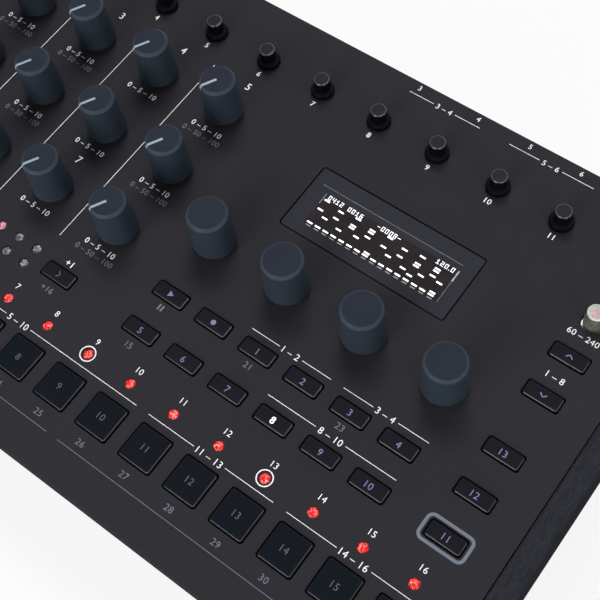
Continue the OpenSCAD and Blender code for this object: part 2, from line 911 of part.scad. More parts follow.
module shaft(top) {
    translate([0, 0, shaft_tip])
        cylinder(d = shaft_d, h = top - shaft_tip);
}

// A tapered cap with a rounded top edge, on its hub and shaft
module tapered_knob(top_d, base_d, height, pointer) {
    foot = 0.4;
    hub_r = knob_hub_d / 2;
    edge = arc(top_d / 2 - knob_edge, height - knob_edge, knob_edge, 0, 90, 4);
    rotate_extrude()
        polygon(concat([[0, knob_gap], [hub_r, knob_gap], [hub_r, knob_lift],
                        [base_d / 2 - foot, knob_lift], [base_d / 2, knob_lift + foot]],
                       edge, [[0, height]]));
    shaft(knob_gap + 1);
    if (pointer)
        rotate([0, 0, pointer_angle])
            translate([0, -pointer_w / 2, height - pointer_rise])
                cube([top_d / 2 - knob_edge, pointer_w, 2 * pointer_rise]);
}

module voice_knob(column, row) {
    color("#2c353d")
        on_panel([column_x(column), knob_row_y(row)])
            tapered_knob(knob_top_d, knob_base_d, knob_h, true);
}

module send_knob(i) {
    color("#2c353d")
        on_panel(send_places[i])
            tapered_knob(knob_top_d, knob_base_d, knob_h, true);
}

module encoder(i) {
    color("#2c353d")
        on_panel(encoder_places[i])
            tapered_knob(encoder_top_d, encoder_base_d, encoder_h, false);
}

module volume_knob() {
    color("#2c353d")
        on_panel([volume_x, volume_y])
            tapered_knob(volume_top_d, volume_base_d, volume_h, true);
}

// A short post with a flared skirt
module skirted_knob(post_d, skirt_d, height) {
    edge_r = 0.5;
    skirt_t = 0.9;
    flare_h = 2.2;
    rotate_extrude()
        polygon(concat([[0, seat_gap], [skirt_d / 2, seat_gap], [skirt_d / 2, seat_gap + skirt_t],
                        [post_d / 2 + 0.3, flare_h], [post_d / 2, flare_h + 0.8]],
                       arc(post_d / 2 - edge_r, height - edge_r, edge_r, 0, 90, 4), [[0, height]]));
    shaft(seat_gap + 0.5);
}

module level_knob(i) {
    color("#0d0d10")
        on_panel(level_places[i])
            skirted_knob(level_d, level_skirt_d, level_h);
}

module tempo_knob() {
    color("#b9b6ae")
        on_panel([pad_x(16), tempo_y])
            skirted_knob(tempo_d, tempo_d + 2 * tempo_skirt, level_h);
}

top_panel();
bottom_case();
rear_panel();
left_cheek();
right_cheek();
rubber_feet();
case_screws();
display_window();
display_module();
control_board();
main_board();
pot_bodies();
key_switches();
indicator_lamps();
audio_jacks();
data_sockets();
for (g = pad_groups)
    pads(g);
transport_keys();
upper_keys();
lower_keys();
side_keys();
arrow_keys();
power_button();
for (c = [0 : 4], r = [0 : 2])
    voice_knob(c, r);
for (i = [1 : 4])
    encoder(i - 1);
for (i = [1 : level_count])
    level_knob(i - 1);
tempo_knob();
volume_knob();
send_knob(0);  // send_knob_1
send_knob(1);  // send_knob_2
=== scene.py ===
"""Looks of a desktop drum machine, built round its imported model.

Sizes are in millimetres and become metres when a shape is turned into a piece.
Places on the top panel are given as x, the distance from the case's middle, and y, the distance from
the panel's front edge along its slope.
"""
from __future__ import annotations

import json
import logging
import math
from dataclasses import dataclass
from enum import Enum

import bmesh
import bpy
from mathutils import Matrix, Vector

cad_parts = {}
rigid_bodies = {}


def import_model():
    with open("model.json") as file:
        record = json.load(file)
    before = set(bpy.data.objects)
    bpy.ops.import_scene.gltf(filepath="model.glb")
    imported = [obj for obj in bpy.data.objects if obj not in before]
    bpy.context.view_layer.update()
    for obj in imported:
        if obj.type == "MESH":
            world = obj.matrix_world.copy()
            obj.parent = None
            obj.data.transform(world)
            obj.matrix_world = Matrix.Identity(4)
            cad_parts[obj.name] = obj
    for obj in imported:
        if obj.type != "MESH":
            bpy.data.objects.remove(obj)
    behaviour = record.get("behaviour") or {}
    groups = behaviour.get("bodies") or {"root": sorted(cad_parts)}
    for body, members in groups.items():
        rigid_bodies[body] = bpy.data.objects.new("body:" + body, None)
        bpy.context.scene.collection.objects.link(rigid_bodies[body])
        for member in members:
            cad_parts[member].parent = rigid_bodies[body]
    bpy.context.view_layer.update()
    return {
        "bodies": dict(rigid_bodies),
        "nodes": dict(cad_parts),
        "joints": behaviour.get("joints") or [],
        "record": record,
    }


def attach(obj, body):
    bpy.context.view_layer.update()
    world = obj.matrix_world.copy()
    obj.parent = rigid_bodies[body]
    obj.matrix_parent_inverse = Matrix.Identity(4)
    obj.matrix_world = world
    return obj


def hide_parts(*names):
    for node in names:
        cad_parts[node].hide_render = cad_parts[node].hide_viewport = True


LOG = logging.getLogger("drum_machine")
MM = 0.001
Colour = tuple[float, float, float]
Spot = tuple[float, float]


# ------------------------------------------------------------------ places


@dataclass(frozen=True)
class Layout:
    """Where the controls sit on the sloped top panel."""

    depth: float = 181.0
    bend_r: float = 1.2
    front_h: float = 42.2
    slope: float = 9.0
    key_pitch: float = 17.4
    last_pad_x: float = 179.1
    pad_y: float = 25.4
    lamp_y: float = 38.7
    lower_y: float = 54.2
    row_pitch: float = 15.0
    page_y: float = 105.8
    grid_y: float = 54.2
    grid_pitch: Spot = (8.0, 6.2)
    arrow_span: float = 25.0
    display: Spot = (109.9, 122.4)
    knob_pitch: float = 29.2
    column_gap: float = 25.4

    @property
    def front_y(self) -> float:
        """Returns the y of the panel's front edge, where its flat face would end without the bend."""
        turn = math.radians(self.slope)
        return round(-self.depth / 2 - self.bend_r * (math.cos(turn) + math.sin(turn) - 1.0), 4)

    def place(self, x: float, y: float, w: float = 0.0) -> Matrix:
        """Carries a shape in millimetres to a spot of the panel, in metres.

        Args:
            x: Distance from the case's middle, to the right.
            y: Distance from the panel's front edge, along its slope.
            w: Height above the panel's face.

        Returns:
            The matrix to apply to the shape.
        """
        return (
            Matrix.Scale(MM, 4)
            @ Matrix.Translation((0.0, self.front_y, self.front_h))
            @ Matrix.Rotation(math.radians(self.slope), 4, "X")
            @ Matrix.Translation((x, y, w))
        )

    def pad_x(self, number: float) -> float:
        """Returns the x of a pad, counted from 1, or of a place between two pads."""
        return self.last_pad_x - (16 - number) * self.key_pitch

    def column_x(self, column: int) -> float:
        """Returns the x of a column of knobs: 0 to 4 are voices, 5 to 8 encoders."""
        return self.last_pad_x - self.column_gap - (8 - column) * self.knob_pitch

    def pads(self, first: int, last: int) -> list[Spot]:
        """Returns the spots of a run of pads."""
        return [(self.pad_x(n), self.pad_y) for n in range(first, last + 1)]

    def keys(self, y: float, first: int, last: int) -> list[Spot]:
        """Returns the spots of a run of small keys, which stand midway between pads."""
        return [(self.pad_x(9.5 + k), y) for k in range(first, last + 1)]

    def side_keys(self) -> list[Spot]:
        """Lists the key column at the right.

        Returns:
            The spots of its keys, from the front to the rear.
        """
        ys = [self.lower_y + i * self.row_pitch for i in range(3)]
        ys += [self.page_y, self.page_y + self.row_pitch]
        return [(self.last_pad_x, y) for y in ys]

    def grid_x(self) -> float:
        """Returns the x of the middle of the lamp grid."""
        return self.pad_x(6.05)

    def arrow_keys(self) -> list[Spot]:
        """Returns the spots of the left and right arrow keys."""
        return [(self.grid_x() + s * self.arrow_span, self.lower_y) for s in (-1, 1)]

    def grid_lamps(self) -> list[Spot]:
        """Lists the lamps of the lamp grid.

        Returns:
            Their spots, column by column from the left.
        """
        return [
            (self.grid_x() + i * self.grid_pitch[0], self.grid_y + j * self.grid_pitch[1])
            for i in (-1.5, -0.5, 0.5, 1.5)
            for j in (-0.5, 0.5)
        ]


LAYOUT = Layout()


# ------------------------------------------------------------------ finishes


class Tree:
    """Builds the node tree of one material."""

    def __init__(self, name: str) -> None:
        """Starts an empty material with its output.

        Args:
            name: The material's name.
        """
        self.material = bpy.data.materials.new(name)
        self.material.use_nodes = True
        self.nodes = self.material.node_tree.nodes
        self.nodes.clear()
        self.output = self.nodes.new("ShaderNodeOutputMaterial")

    def add(self, kind: str, inputs: dict[str, object] | None = None, **settings: object) -> bpy.types.Node:
        """Adds a node.

        Args:
            kind: The node type, without its ShaderNode prefix.
            inputs: Socket names with a value, or with an output socket to link from.
            settings: Properties of the node.

        Returns:
            The new node.
        """
        node = self.nodes.new("ShaderNode" + kind)
        for key, value in settings.items():
            setattr(node, key, value)
        for key, value in (inputs or {}).items():
            socket = node.inputs[key]
            if isinstance(value, bpy.types.NodeSocket):
                self.material.node_tree.links.new(value, socket)
            else:
                socket.default_value = value
        return node

    def objects(self) -> bpy.types.NodeSocket:
        """Returns the Object coordinates."""
        return self.add("TexCoord").outputs["Object"]

    def stretched(self, factors: Colour) -> bpy.types.NodeSocket:
        """Returns the Object coordinates, scaled by a factor for each axis."""
        return self.add("Mapping", {"Vector": self.objects(), "Scale": factors}).outputs["Vector"]

    def noise(self, scale: float, detail: float = 2.0, rough: float = 0.5,
              vector: bpy.types.NodeSocket | None = None) -> bpy.types.NodeSocket:
        """Adds a noise pattern.

        Args:
            scale: Waves per metre of the coordinates.
            detail: How many finer layers it has.
            rough: How strong the finer layers are.
            vector: The coordinates, or None for the Object coordinates.

        Returns:
            The noise value.
        """
        node = self.add("TexNoise", {"Vector": vector or self.objects(), "Scale": scale, "Detail": detail,
                                     "Roughness": rough})
        return node.outputs["Fac"]

    def remap(self, value: bpy.types.NodeSocket, low: float, high: float, to_low: float = 0.0,
              to_high: float = 1.0) -> bpy.types.NodeSocket:
        """Carries a value from one range to another.

        Args:
            value: The value to carry.
            low: Where its range starts.
            high: Where its range ends.
            to_low: Where the new range starts.
            to_high: Where the new range ends.

        Returns:
            The value, clamped to the new range.
        """
        node = self.add("MapRange", {"Value": value, "From Min": low, "From Max": high, "To Min": to_low,
                                     "To Max": to_high})
        return node.outputs["Result"]

    def blend(self, factor: bpy.types.NodeSocket, first: Colour | bpy.types.NodeSocket,
              second: Colour) -> bpy.types.NodeSocket:
        """Mixes two colours.

        Args:
            factor: The share of the second colour.
            first: The first colour, or a socket that gives it.
            second: The second colour.

        Returns:
            The mixed colour.
        """
        node = self.add("Mix", data_type="RGBA")
        self.material.node_tree.links.new(factor, node.inputs["Factor"])
        if isinstance(first, bpy.types.NodeSocket):
            self.material.node_tree.links.new(first, node.inputs["A"])
        else:
            node.inputs["A"].default_value = (*first, 1.0)
        node.inputs["B"].default_value = (*second, 1.0)
        return node.outputs["Result"]

    def bump(self, height: bpy.types.NodeSocket, depth: float) -> bpy.types.NodeSocket:
        """Returns a normal bumped by a height of some millimetres."""
        node = self.add("Bump", {"Height": height, "Distance": depth * MM, "Strength": 1.0})
        return node.outputs["Normal"]

    def finish(self, shader: bpy.types.Node) -> bpy.types.Material:
        """Links the shader to the output and returns the material."""
        self.material.node_tree.links.new(shader.outputs[0], self.output.inputs["Surface"])
        return self.material


@dataclass(frozen=True)
class Finish:
    """A surface finish: a moulded or painted skin with fine grain.

    Colours are as they look, in sRGB from 0 to 255.
    """

    name: str
    colour: Colour
    rough: float = 0.5
    grain: float = 2500.0
    grain_depth: float = 0.01
    mottle: float = 0.12
    mottle_scale: float = 60.0
    rough_spread: float = 0.06
    metallic: float = 0.0
    specular: float = 0.5
    coat: float = 0.0

    def linear(self, factor: float = 1.0) -> Colour:
        """Returns the colour in linear light, made lighter or darker by a factor."""
        return tuple(srgb(c) * factor for c in self.colour)

    def material(self) -> bpy.types.Material:
        """Returns the finish's material, built once."""
        known = bpy.data.materials.get(self.name)
        return known if known else self.build()

    def build(self) -> bpy.types.Material:
        """Builds the material as a mottled skin with fine grain.

        Returns:
            The new material.
        """
        tree = Tree(self.name)
        cloud = tree.noise(self.mottle_scale, 3.0, 0.6)
        fine = tree.noise(self.grain, 2.0, 0.6)
        spread = tree.remap(cloud, 0.3, 0.7)
        colour = tree.blend(spread, self.linear(1.0 - self.mottle), self.linear(1.0 + self.mottle))
        rough = tree.remap(fine, 0.3, 0.7, self.rough - self.rough_spread, self.rough + self.rough_spread)
        shader = tree.add("BsdfPrincipled", {
            "Base Color": colour, "Roughness": rough, "Normal": tree.bump(fine, self.grain_depth),
            "Metallic": self.metallic, "Specular IOR Level": self.specular, "Coat Weight": self.coat,
            "Coat Roughness": 0.08,
        })
        return tree.finish(shader)


def srgb(value: float) -> float:
    """Returns the linear value of an sRGB value from 0 to 255."""
    v = value / 255.0
    return v / 12.92 if v <= 0.04045 else ((v + 0.055) / 1.055) ** 2.4


@dataclass(frozen=True)
class StainedWood(Finish):
    """Black stained wood with fine streaks along the depth of the case."""

    def build(self) -> bpy.types.Material:
        """Builds the material as streaks of pores along Y.

        Returns:
            The new material.
        """
        tree = Tree(self.name)
        streak = tree.noise(1.0, 4.0, 0.65, tree.stretched((1100.0, 42.0, 1100.0)))
        pores = tree.noise(1.0, 2.0, 0.5, tree.stretched((3400.0, 150.0, 3400.0)))
        both = tree.add("Math", {0: streak, 1: pores}, operation="MULTIPLY").outputs[0]
        grain = tree.remap(both, 0.14, 0.36)
        colour = tree.blend(grain, self.linear(0.72), self.linear(1.2))
        rough = tree.remap(grain, 0.0, 1.0, self.rough + 0.12, self.rough - 0.08)
        shader = tree.add("BsdfPrincipled", {
            "Base Color": colour, "Roughness": rough, "Normal": tree.bump(grain, 0.03),
            "Specular IOR Level": self.specular,
        })
        return tree.finish(shader)


@dataclass(frozen=True)
class Ink(Finish):
    """Screen-printed ink, slightly uneven along its edges."""

    glow: float = 0.0

    def build(self) -> bpy.types.Material:
        """Builds the material as ink, which may shine from behind.

        Returns:
            The new material.
        """
        tree = Tree(self.name)
        speck = tree.noise(4000.0, 2.0, 0.6)
        colour = tree.blend(tree.remap(speck, 0.35, 0.65), self.linear(0.86), self.linear(1.0))
        shader = tree.add("BsdfPrincipled", {
            "Base Color": colour, "Roughness": self.rough, "Specular IOR Level": self.specular,
            "Emission Color": (*self.linear(), 1.0), "Emission Strength": self.glow,
        })
        return tree.finish(shader)


@dataclass(frozen=True)
class Lamp(Finish):
    """Clear resin that runs from its rim's colour to its core's along the heat attribute, with fine pale arcs
    that are painted glints.
    """

    rim: Colour = (96, 10, 14)
    core: Colour = (255, 190, 60)
    pale: Colour = (255, 160, 150)
    veil: float = 0.6
    spread: float = 0.22
    swirl: float = 1400.0
    middle: float = 0.42
    glow: float = 1.0

    def build(self) -> bpy.types.Material:
        """Builds the material as a ramp of colours over the dome.

        Returns:
            The new material.
        """
        tree = Tree(self.name)
        heat = tree.add("Attribute", attribute_name="heat").outputs["Fac"]
        cloud = tree.remap(tree.noise(self.swirl, 1.0, 0.5), 0.3, 0.7, -self.spread, self.spread)
        mixed = tree.add("Math", {0: cloud, 1: heat}, operation="ADD").outputs[0]
        ramp = tree.add("ValToRGB", {"Fac": mixed})
        stops = ramp.color_ramp.elements
        stops[0].position, stops[0].color = 0.02, (*[srgb(c) for c in self.rim], 1.0)
        stops[1].position, stops[1].color = 0.95, (*[srgb(c) for c in self.core], 1.0)
        stops.new(self.middle * 0.5).color = (*self.linear(0.8), 1.0)
        stops.new(self.middle).color = (*self.linear(), 1.0)
        # Painted glints: pale arcs along the ridges of a swirl pattern, in place of light caught inside the
        # clear resin.
        swirl = tree.noise(self.swirl * 1.3, 0.0, 0.5)
        off = tree.add("Math", {0: swirl, 1: 0.5}, operation="SUBTRACT").outputs[0]
        ridge = tree.add("Math", {0: off}, operation="ABSOLUTE").outputs[0]
        glint_mask = tree.remap(ridge, 0.0, 0.05, self.veil, 0.0)
        colour = tree.blend(glint_mask, ramp.outputs["Color"], tuple(srgb(c) for c in self.pale))
        shader = tree.add("BsdfPrincipled", {
            "Base Color": colour, "Roughness": self.rough, "Emission Color": colour,
            "Emission Strength": self.glow, "Coat Weight": self.coat, "Coat Roughness": 0.05,
            "Specular IOR Level": self.specular,
        })
        return tree.finish(shader)


PANEL_PAINT = Finish("satin_paint", (44, 43, 48), rough=0.75, grain=2600, grain_depth=0.02, mottle=0.05,
                     mottle_scale=25, specular=0.04)
# Painted shade: a deeper black for the panel's fold and the walls of its holes, which lie in shadow.
EDGE_SHADE = Finish("painted_edge_shade", (17, 17, 20), rough=0.7, grain=2600, grain_depth=0.01, mottle=0.05,
                    mottle_scale=25, specular=0.1)
CASE_PAINT = Finish("case_coat", (38, 38, 41), rough=0.55, grain=3000, grain_depth=0.02, mottle=0.06,
                    mottle_scale=30, specular=0.4)
CHEEK_WOOD = StainedWood("stained_wood", (45, 46, 51), rough=0.7, specular=0.0)
PAD_PLASTIC = Finish("pad_skin", (19, 23, 30), rough=0.7, grain=2600, grain_depth=0.008, mottle=0.05,
                     specular=0.02)
KEY_PLASTIC = Finish("key_skin", (28, 27, 33), rough=0.7, grain=2600, grain_depth=0.008, mottle=0.05,
                     specular=0.02)
KNOB_SIDE = Finish("knob_skin", (43, 51, 60), rough=0.55, grain=2200, grain_depth=0.012, mottle=0.06,
                   mottle_scale=120, specular=0.06)
# Painted highlight: the rim is the same plastic as the side, made lighter all round where the bevel would
# catch the light.
KNOB_RIM_HIGHLIGHT = Finish("knob_rim_highlight", (52, 60, 71), rough=0.48, grain=2200, grain_depth=0.003, mottle=0.04,
                  mottle_scale=120, specular=0.08)
# Painted shade: the top is the same plastic as the side, made darker.
KNOB_TOP_SHADE = Finish("knob_face_shade", (41, 46, 56), rough=0.65, grain=2600, grain_depth=0.012, mottle=0.06,
                  mottle_scale=120, specular=0.02)
# The hub is a real part; its near-black colour is painted shade of the gap under the knob's wall.
KNOB_HUB_SHADE = Finish("knob_core_shade", (10, 10, 12), rough=0.6, grain=2200, grain_depth=0.01, specular=0.2)
# Painted shade: near-black for the caps' walls and their rear and left edges, which lie in shadow.
CAP_WALL_SHADE = Finish("cap_wall_shade", (6, 6, 8), rough=0.6, grain=2600, grain_depth=0.006, specular=0.1)
CAP_EDGE = Finish("cap_edge", (22, 22, 27), rough=0.3, grain=2600, grain_depth=0.002, specular=0.4)
LEVEL_SIDE = Finish("level_side", (8, 9, 13), rough=0.45, grain=1200, grain_depth=0.006, mottle=0.1,
                    specular=0.04)
LEVEL_EDGE = Finish("level_edge", (24, 24, 29), rough=0.16, grain=900, grain_depth=0.001, mottle=0.05,
                    rough_spread=0.03, specular=0.6, coat=0.3)
LEVEL_FACE = Finish("level_face", (40, 39, 46), rough=0.65, grain=1800, grain_depth=0.01, mottle=0.1,
                    specular=0.03)
TEMPO_SIDE = Lamp("tempo_side", (100, 98, 88), rough=0.45, rim=(84, 82, 74), core=(176, 172, 162),
                  pale=(150, 148, 138), veil=0.5, spread=0.3, swirl=700.0, glow=0.05, specular=0.2)
TEMPO_FACE = Lamp("tempo_face", (206, 104, 104), rough=0.35, rim=(138, 142, 140), core=(236, 70, 74),
                  pale=(176, 178, 176), veil=0.4, spread=0.2, swirl=800.0, glow=0.12, specular=0.4)
# Painted highlight: the clear knob's edge ring, pale and faintly glowing all round; its coat is real gloss.
TEMPO_EDGE_HIGHLIGHT = Lamp("tempo_edge_highlight", (196, 198, 196), rough=0.12, rim=(186, 188, 186), core=(206, 206, 204),
                  pale=(236, 238, 238), glow=0.1, coat=0.6)
WINDOW_PLASTIC = Finish("window_tint", (46, 48, 54), rough=0.5, grain=1500, grain_depth=0.002, mottle=0.05,
                        rough_spread=0.03, specular=0.03)
GLASS_BLACK = Finish("display_glass", (27, 20, 22), rough=0.5, grain=700, grain_depth=0.001, mottle=0.45,
                     mottle_scale=180, rough_spread=0.02, specular=0.06)
# Painted highlights: light lines along the display glass's edges, and brighter glints.
GLASS_EDGE_HIGHLIGHT = Finish("display_edge_highlight", (50, 54, 60), rough=0.4, grain=700, grain_depth=0.001)
GLASS_GLINT = Finish("display_glint", (88, 92, 98), rough=0.3, grain=700, grain_depth=0.001)
WHITE_INK = Ink("white_ink", (246, 248, 250), rough=0.6, specular=0.3)
BLUE_INK = Ink("blue_ink", (104, 113, 126), rough=0.6, specular=0.3)
POINTER_INK = Ink("pointer_ink", (136, 155, 168), rough=0.45)
KEY_GLOW = Ink("key_legend", (104, 94, 140), rough=0.5, glow=0.15)
PAD_GLOW = Ink("pad_legend", (60, 57, 76), rough=0.5)
DIM_GLOW = Ink("dim_legend", (66, 68, 74), rough=0.5)
LIT_GLOW = Ink("lit_legend", (250, 250, 255), rough=0.5, glow=0.6)
PIXEL_ON = Ink("pixel_on", (250, 252, 255), rough=0.4, glow=0.9)
# Painted reflection: a dim, faintly glowing copy of the lit pixels under the bar graph.
PIXEL_REFLECTION = Ink("pixel_reflection", (120, 126, 134), rough=0.4, glow=0.1)
LAMP_RED = Lamp("lamp_red", (255, 52, 40), rough=0.35, rim=(150, 14, 18), core=(255, 214, 84),
                pale=(255, 166, 156), veil=0.6, spread=0.26, swirl=760.0, middle=0.52, glow=1.12, coat=0.03,
                specular=0.2)
LAMP_CLEAR = Lamp("lamp_clear", (126, 129, 142), rough=0.4, rim=(42, 43, 48), core=(120, 124, 136),
                  pale=(196, 200, 212), veil=0.8, spread=0.3, swirl=800.0, middle=0.4, glow=0.05, coat=0.03,
                  specular=0.3)
LAMP_PINK = Lamp("lamp_pink", (224, 150, 164), rough=0.4, rim=(120, 60, 70), core=(236, 180, 190),
                 pale=(246, 214, 220), veil=0.7, spread=0.3, swirl=800.0, middle=0.4, glow=0.35, coat=0.03,
                 specular=0.3)
RUBBER = Finish("rubber", (26, 26, 27), rough=0.75, grain=1500, grain_depth=0.03, mottle=0.15)
SCREW_STEEL = Finish("blackened_steel", (62, 62, 66), rough=0.32, grain=900, grain_depth=0.004, metallic=1.0)
NICKEL = Finish("nickel", (188, 188, 190), rough=0.24, grain=1200, grain_depth=0.004, metallic=1.0)
SOCKET_PLASTIC = Finish("socket_black", (30, 30, 32), rough=0.45, grain=1800, grain_depth=0.01)
BOARD = Finish("solder_mask", (28, 84, 56), rough=0.35, grain=700, grain_depth=0.01, mottle=0.2,
               mottle_scale=90)
POT_METAL = Finish("pot_steel", (150, 154, 160), rough=0.35, grain=900, grain_depth=0.004, metallic=1.0)
SWITCH_PLASTIC = Finish("switch_grey", (120, 121, 124), rough=0.5)


# ------------------------------------------------------------------ shapes


class Shape:
    """A mesh in the making, in millimetres, that collects parts with their material numbers."""

    def __init__(self) -> None:
        """Starts empty."""
        self.mesh = bmesh.new()

    def take(self, part: bmesh.types.BMesh, place: Matrix | None = None, material: int | None = 0) -> Shape:
        """Adds a part and frees it.

        Args:
            part: The part.
            place: Where it goes.
            material: The number of its finish, or None where its faces have their own.

        Returns:
            The shape itself.
        """
        if place is not None:
            part.transform(place)
            if place.determinant() < 0:
                bmesh.ops.reverse_faces(part, faces=part.faces[:])
        for face in part.faces if material is not None else ():
            face.material_index = material
        carrier = bpy.data.meshes.new("carrier")
        part.to_mesh(carrier)
        part.free()
        self.mesh.from_mesh(carrier)
        bpy.data.meshes.remove(carrier)
        return self

    def heat(self, centre: Vector, radius: float) -> None:
        """Writes the heat attribute of the points that have none yet.

        Args:
            centre: Where the heat is 1.
            radius: How far from there it falls to 0.
        """
        layer = self.mesh.verts.layers.float.get("heat") or self.mesh.verts.layers.float.new("heat")
        for vert in self.mesh.verts:
            if vert[layer] == 0.0:
                vert[layer] = max(1.0 - (vert.co - centre).length / radius, 0.001)

    def piece(self, name: str, body: str, finishes: list[Finish], slot: str, replaces: tuple[str, ...] = (),
              crease: float = 32.0) -> bpy.types.Object:
        """Turns the shape into a piece of the machine.

        Args:
            name: The piece's name.
            body: The body that it rides on.
            finishes: The finishes, by material number.
            slot: The record's material slot; not used.
            replaces: The solids that it stands for.
            crease: Angle in degrees above which an edge stays sharp.

        Returns:
            The new object.
        """
        data = bpy.data.meshes.new(name)
        self.mesh.to_mesh(data)
        self.mesh.free()
        for finish in finishes:
            data.materials.append(finish.material())
        data.shade_smooth()
        data.set_sharp_from_angle(angle=math.radians(crease))
        made = bpy.data.objects.new(name, data)
        bpy.context.scene.collection.objects.link(made)
        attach(made, body)
        if replaces:
            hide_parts(*replaces)
        LOG.info("%s: %d faces, rides on %s", name, len(data.polygons), body)
        return made


def turned(profile: list[Spot], steps: int = 64, closed: bool = False) -> bmesh.types.BMesh:
    """Spins a profile of radius and height about Z.

    Args:
        profile: Points from the foot to the top.
        steps: Faces round the turn.
        closed: Whether the last point joins the first.

    Returns:
        The turned part.
    """
    part = bmesh.new()
    verts = [part.verts.new((r, 0.0, z)) for r, z in profile]
    pairs = list(zip(verts, verts[1:])) + ([(verts[-1], verts[0])] if closed else [])
    edges = [part.edges.new(pair) for pair in pairs]
    bmesh.ops.spin(part, geom=verts + edges, cent=(0, 0, 0), axis=(0, 0, 1), angle=math.tau, steps=steps,
                   use_merge=True, use_duplicate=False)
    bmesh.ops.remove_doubles(part, verts=part.verts[:], dist=1e-4)
    bmesh.ops.recalc_face_normals(part, faces=part.faces[:])
    return part


def arc(centre: Spot, radius: float, start: float, end: float, steps: int = 5) -> list[Spot]:
    """Returns points on an arc, for a profile."""
    angles = [math.radians(start + (end - start) * i / steps) for i in range(steps + 1)]
    return [(centre[0] + radius * math.cos(a), centre[1] + radius * math.sin(a)) for a in angles]


def block(size: tuple[float, float, float], z0: float = 0.0, corner: float = 0.0, top: float = 0.0,
          segments: int = 3) -> bmesh.types.BMesh:
    """Makes a box on z0 with rounded upright corners and a rounded top edge.

    Args:
        size: Width, depth and height.
        z0: Height of its underside.
        corner: Radius of the upright edges.
        top: Radius of the top edge.
        segments: Faces round each rounding.

    Returns:
        The block.
    """
    part = bmesh.new()
    bmesh.ops.create_cube(part, size=1.0)
    bmesh.ops.scale(part, vec=size, verts=part.verts[:])
    bmesh.ops.translate(part, vec=(0.0, 0.0, z0 + size[2] / 2), verts=part.verts[:])
    if corner:
        upright = [e for e in part.edges if abs(e.verts[0].co.z - e.verts[1].co.z) > size[2] / 2]
        round_edges(part, upright, corner, segments + 2)
    if top:
        high = z0 + size[2] - 1e-5
        rim = [e for e in part.edges if min(v.co.z for v in e.verts) > high]
        round_edges(part, rim, top, segments)
    return part


def round_edges(part: bmesh.types.BMesh, edges: list[bmesh.types.BMEdge], radius: float,
                segments: int) -> None:
    """Rounds some edges of a part."""
    bmesh.ops.bevel(part, geom=edges, offset=radius, offset_type="OFFSET", segments=segments, profile=0.5,
                    affect="EDGES", clamp_overlap=True, material=-1)


def ring(inner: float, outer: float, z0: float, z1: float, steps: int = 48) -> bmesh.types.BMesh:
    """Makes a flat ring."""
    return turned([(inner, z0), (outer, z0), (outer, z1), (inner, z1)], steps, closed=True)


def bar(start: Spot, end: Spot, width: float, thick: float) -> bmesh.types.BMesh:
    """Makes a straight bar between two points of a plane.

    Args:
        start: The middle of its first end.
        end: The middle of its other end.
        width: Its width in the plane.
        thick: Its thickness.

    Returns:
        The bar.
    """
    a, b = Vector(start), Vector(end)
    part = block(((b - a).length, width, thick))
    middle, angle = (a + b) / 2, math.atan2(b.y - a.y, b.x - a.x)
    part.transform(Matrix.Translation((middle.x, middle.y, 0.0)) @ Matrix.Rotation(angle, 4, "Z"))
    return part


class Weight(Enum):
    """How bold the strokes of a character are."""

    PLAIN = 0.0
    FIRM = 0.009
    BOLD = 0.018


@dataclass(frozen=True)
class Writer:
    """Sets plain numbers and signs as thin flat meshes."""

    height: float = 2.1
    weight: Weight = Weight.PLAIN
    thick: float = 0.04
    cap_share: float = 0.73
    spacing: float = 1.06

    def write(self, text: str) -> bmesh.types.BMesh:
        """Makes the characters, with their middle at the origin.

        Args:
            text: The characters.

        Returns:
            The characters as one part, lying on z = 0.
        """
        curve = bpy.data.curves.new("characters", "FONT")
        curve.body = text
        curve.size = self.height / self.cap_share
        curve.offset = self.weight.value * self.height
        curve.extrude = self.thick / 2
        curve.resolution_u = 3
        curve.space_character = self.spacing
        holder = bpy.data.objects.new("characters", curve)
        bpy.context.scene.collection.objects.link(holder)
        graph = bpy.context.evaluated_depsgraph_get()
        data = bpy.data.meshes.new_from_object(holder.evaluated_get(graph))
        bpy.data.objects.remove(holder)
        bpy.data.curves.remove(curve)
        part = bmesh.new()
        part.from_mesh(data)
        bpy.data.meshes.remove(data)
        xs = [v.co.x for v in part.verts]
        shift = -(min(xs) + max(xs)) / 2
        bmesh.ops.translate(part, vec=(shift, -self.height / 2, self.thick / 2), verts=part.verts[:])
        return part

    def span(self, text: str) -> float:
        """Measures characters.

        Args:
            text: The characters.

        Returns:
            Their width.
        """
        part = self.write(text)
        xs = [v.co.x for v in part.verts]
        part.free()
        return max(xs) - min(xs)


# ------------------------------------------------------------------ knobs


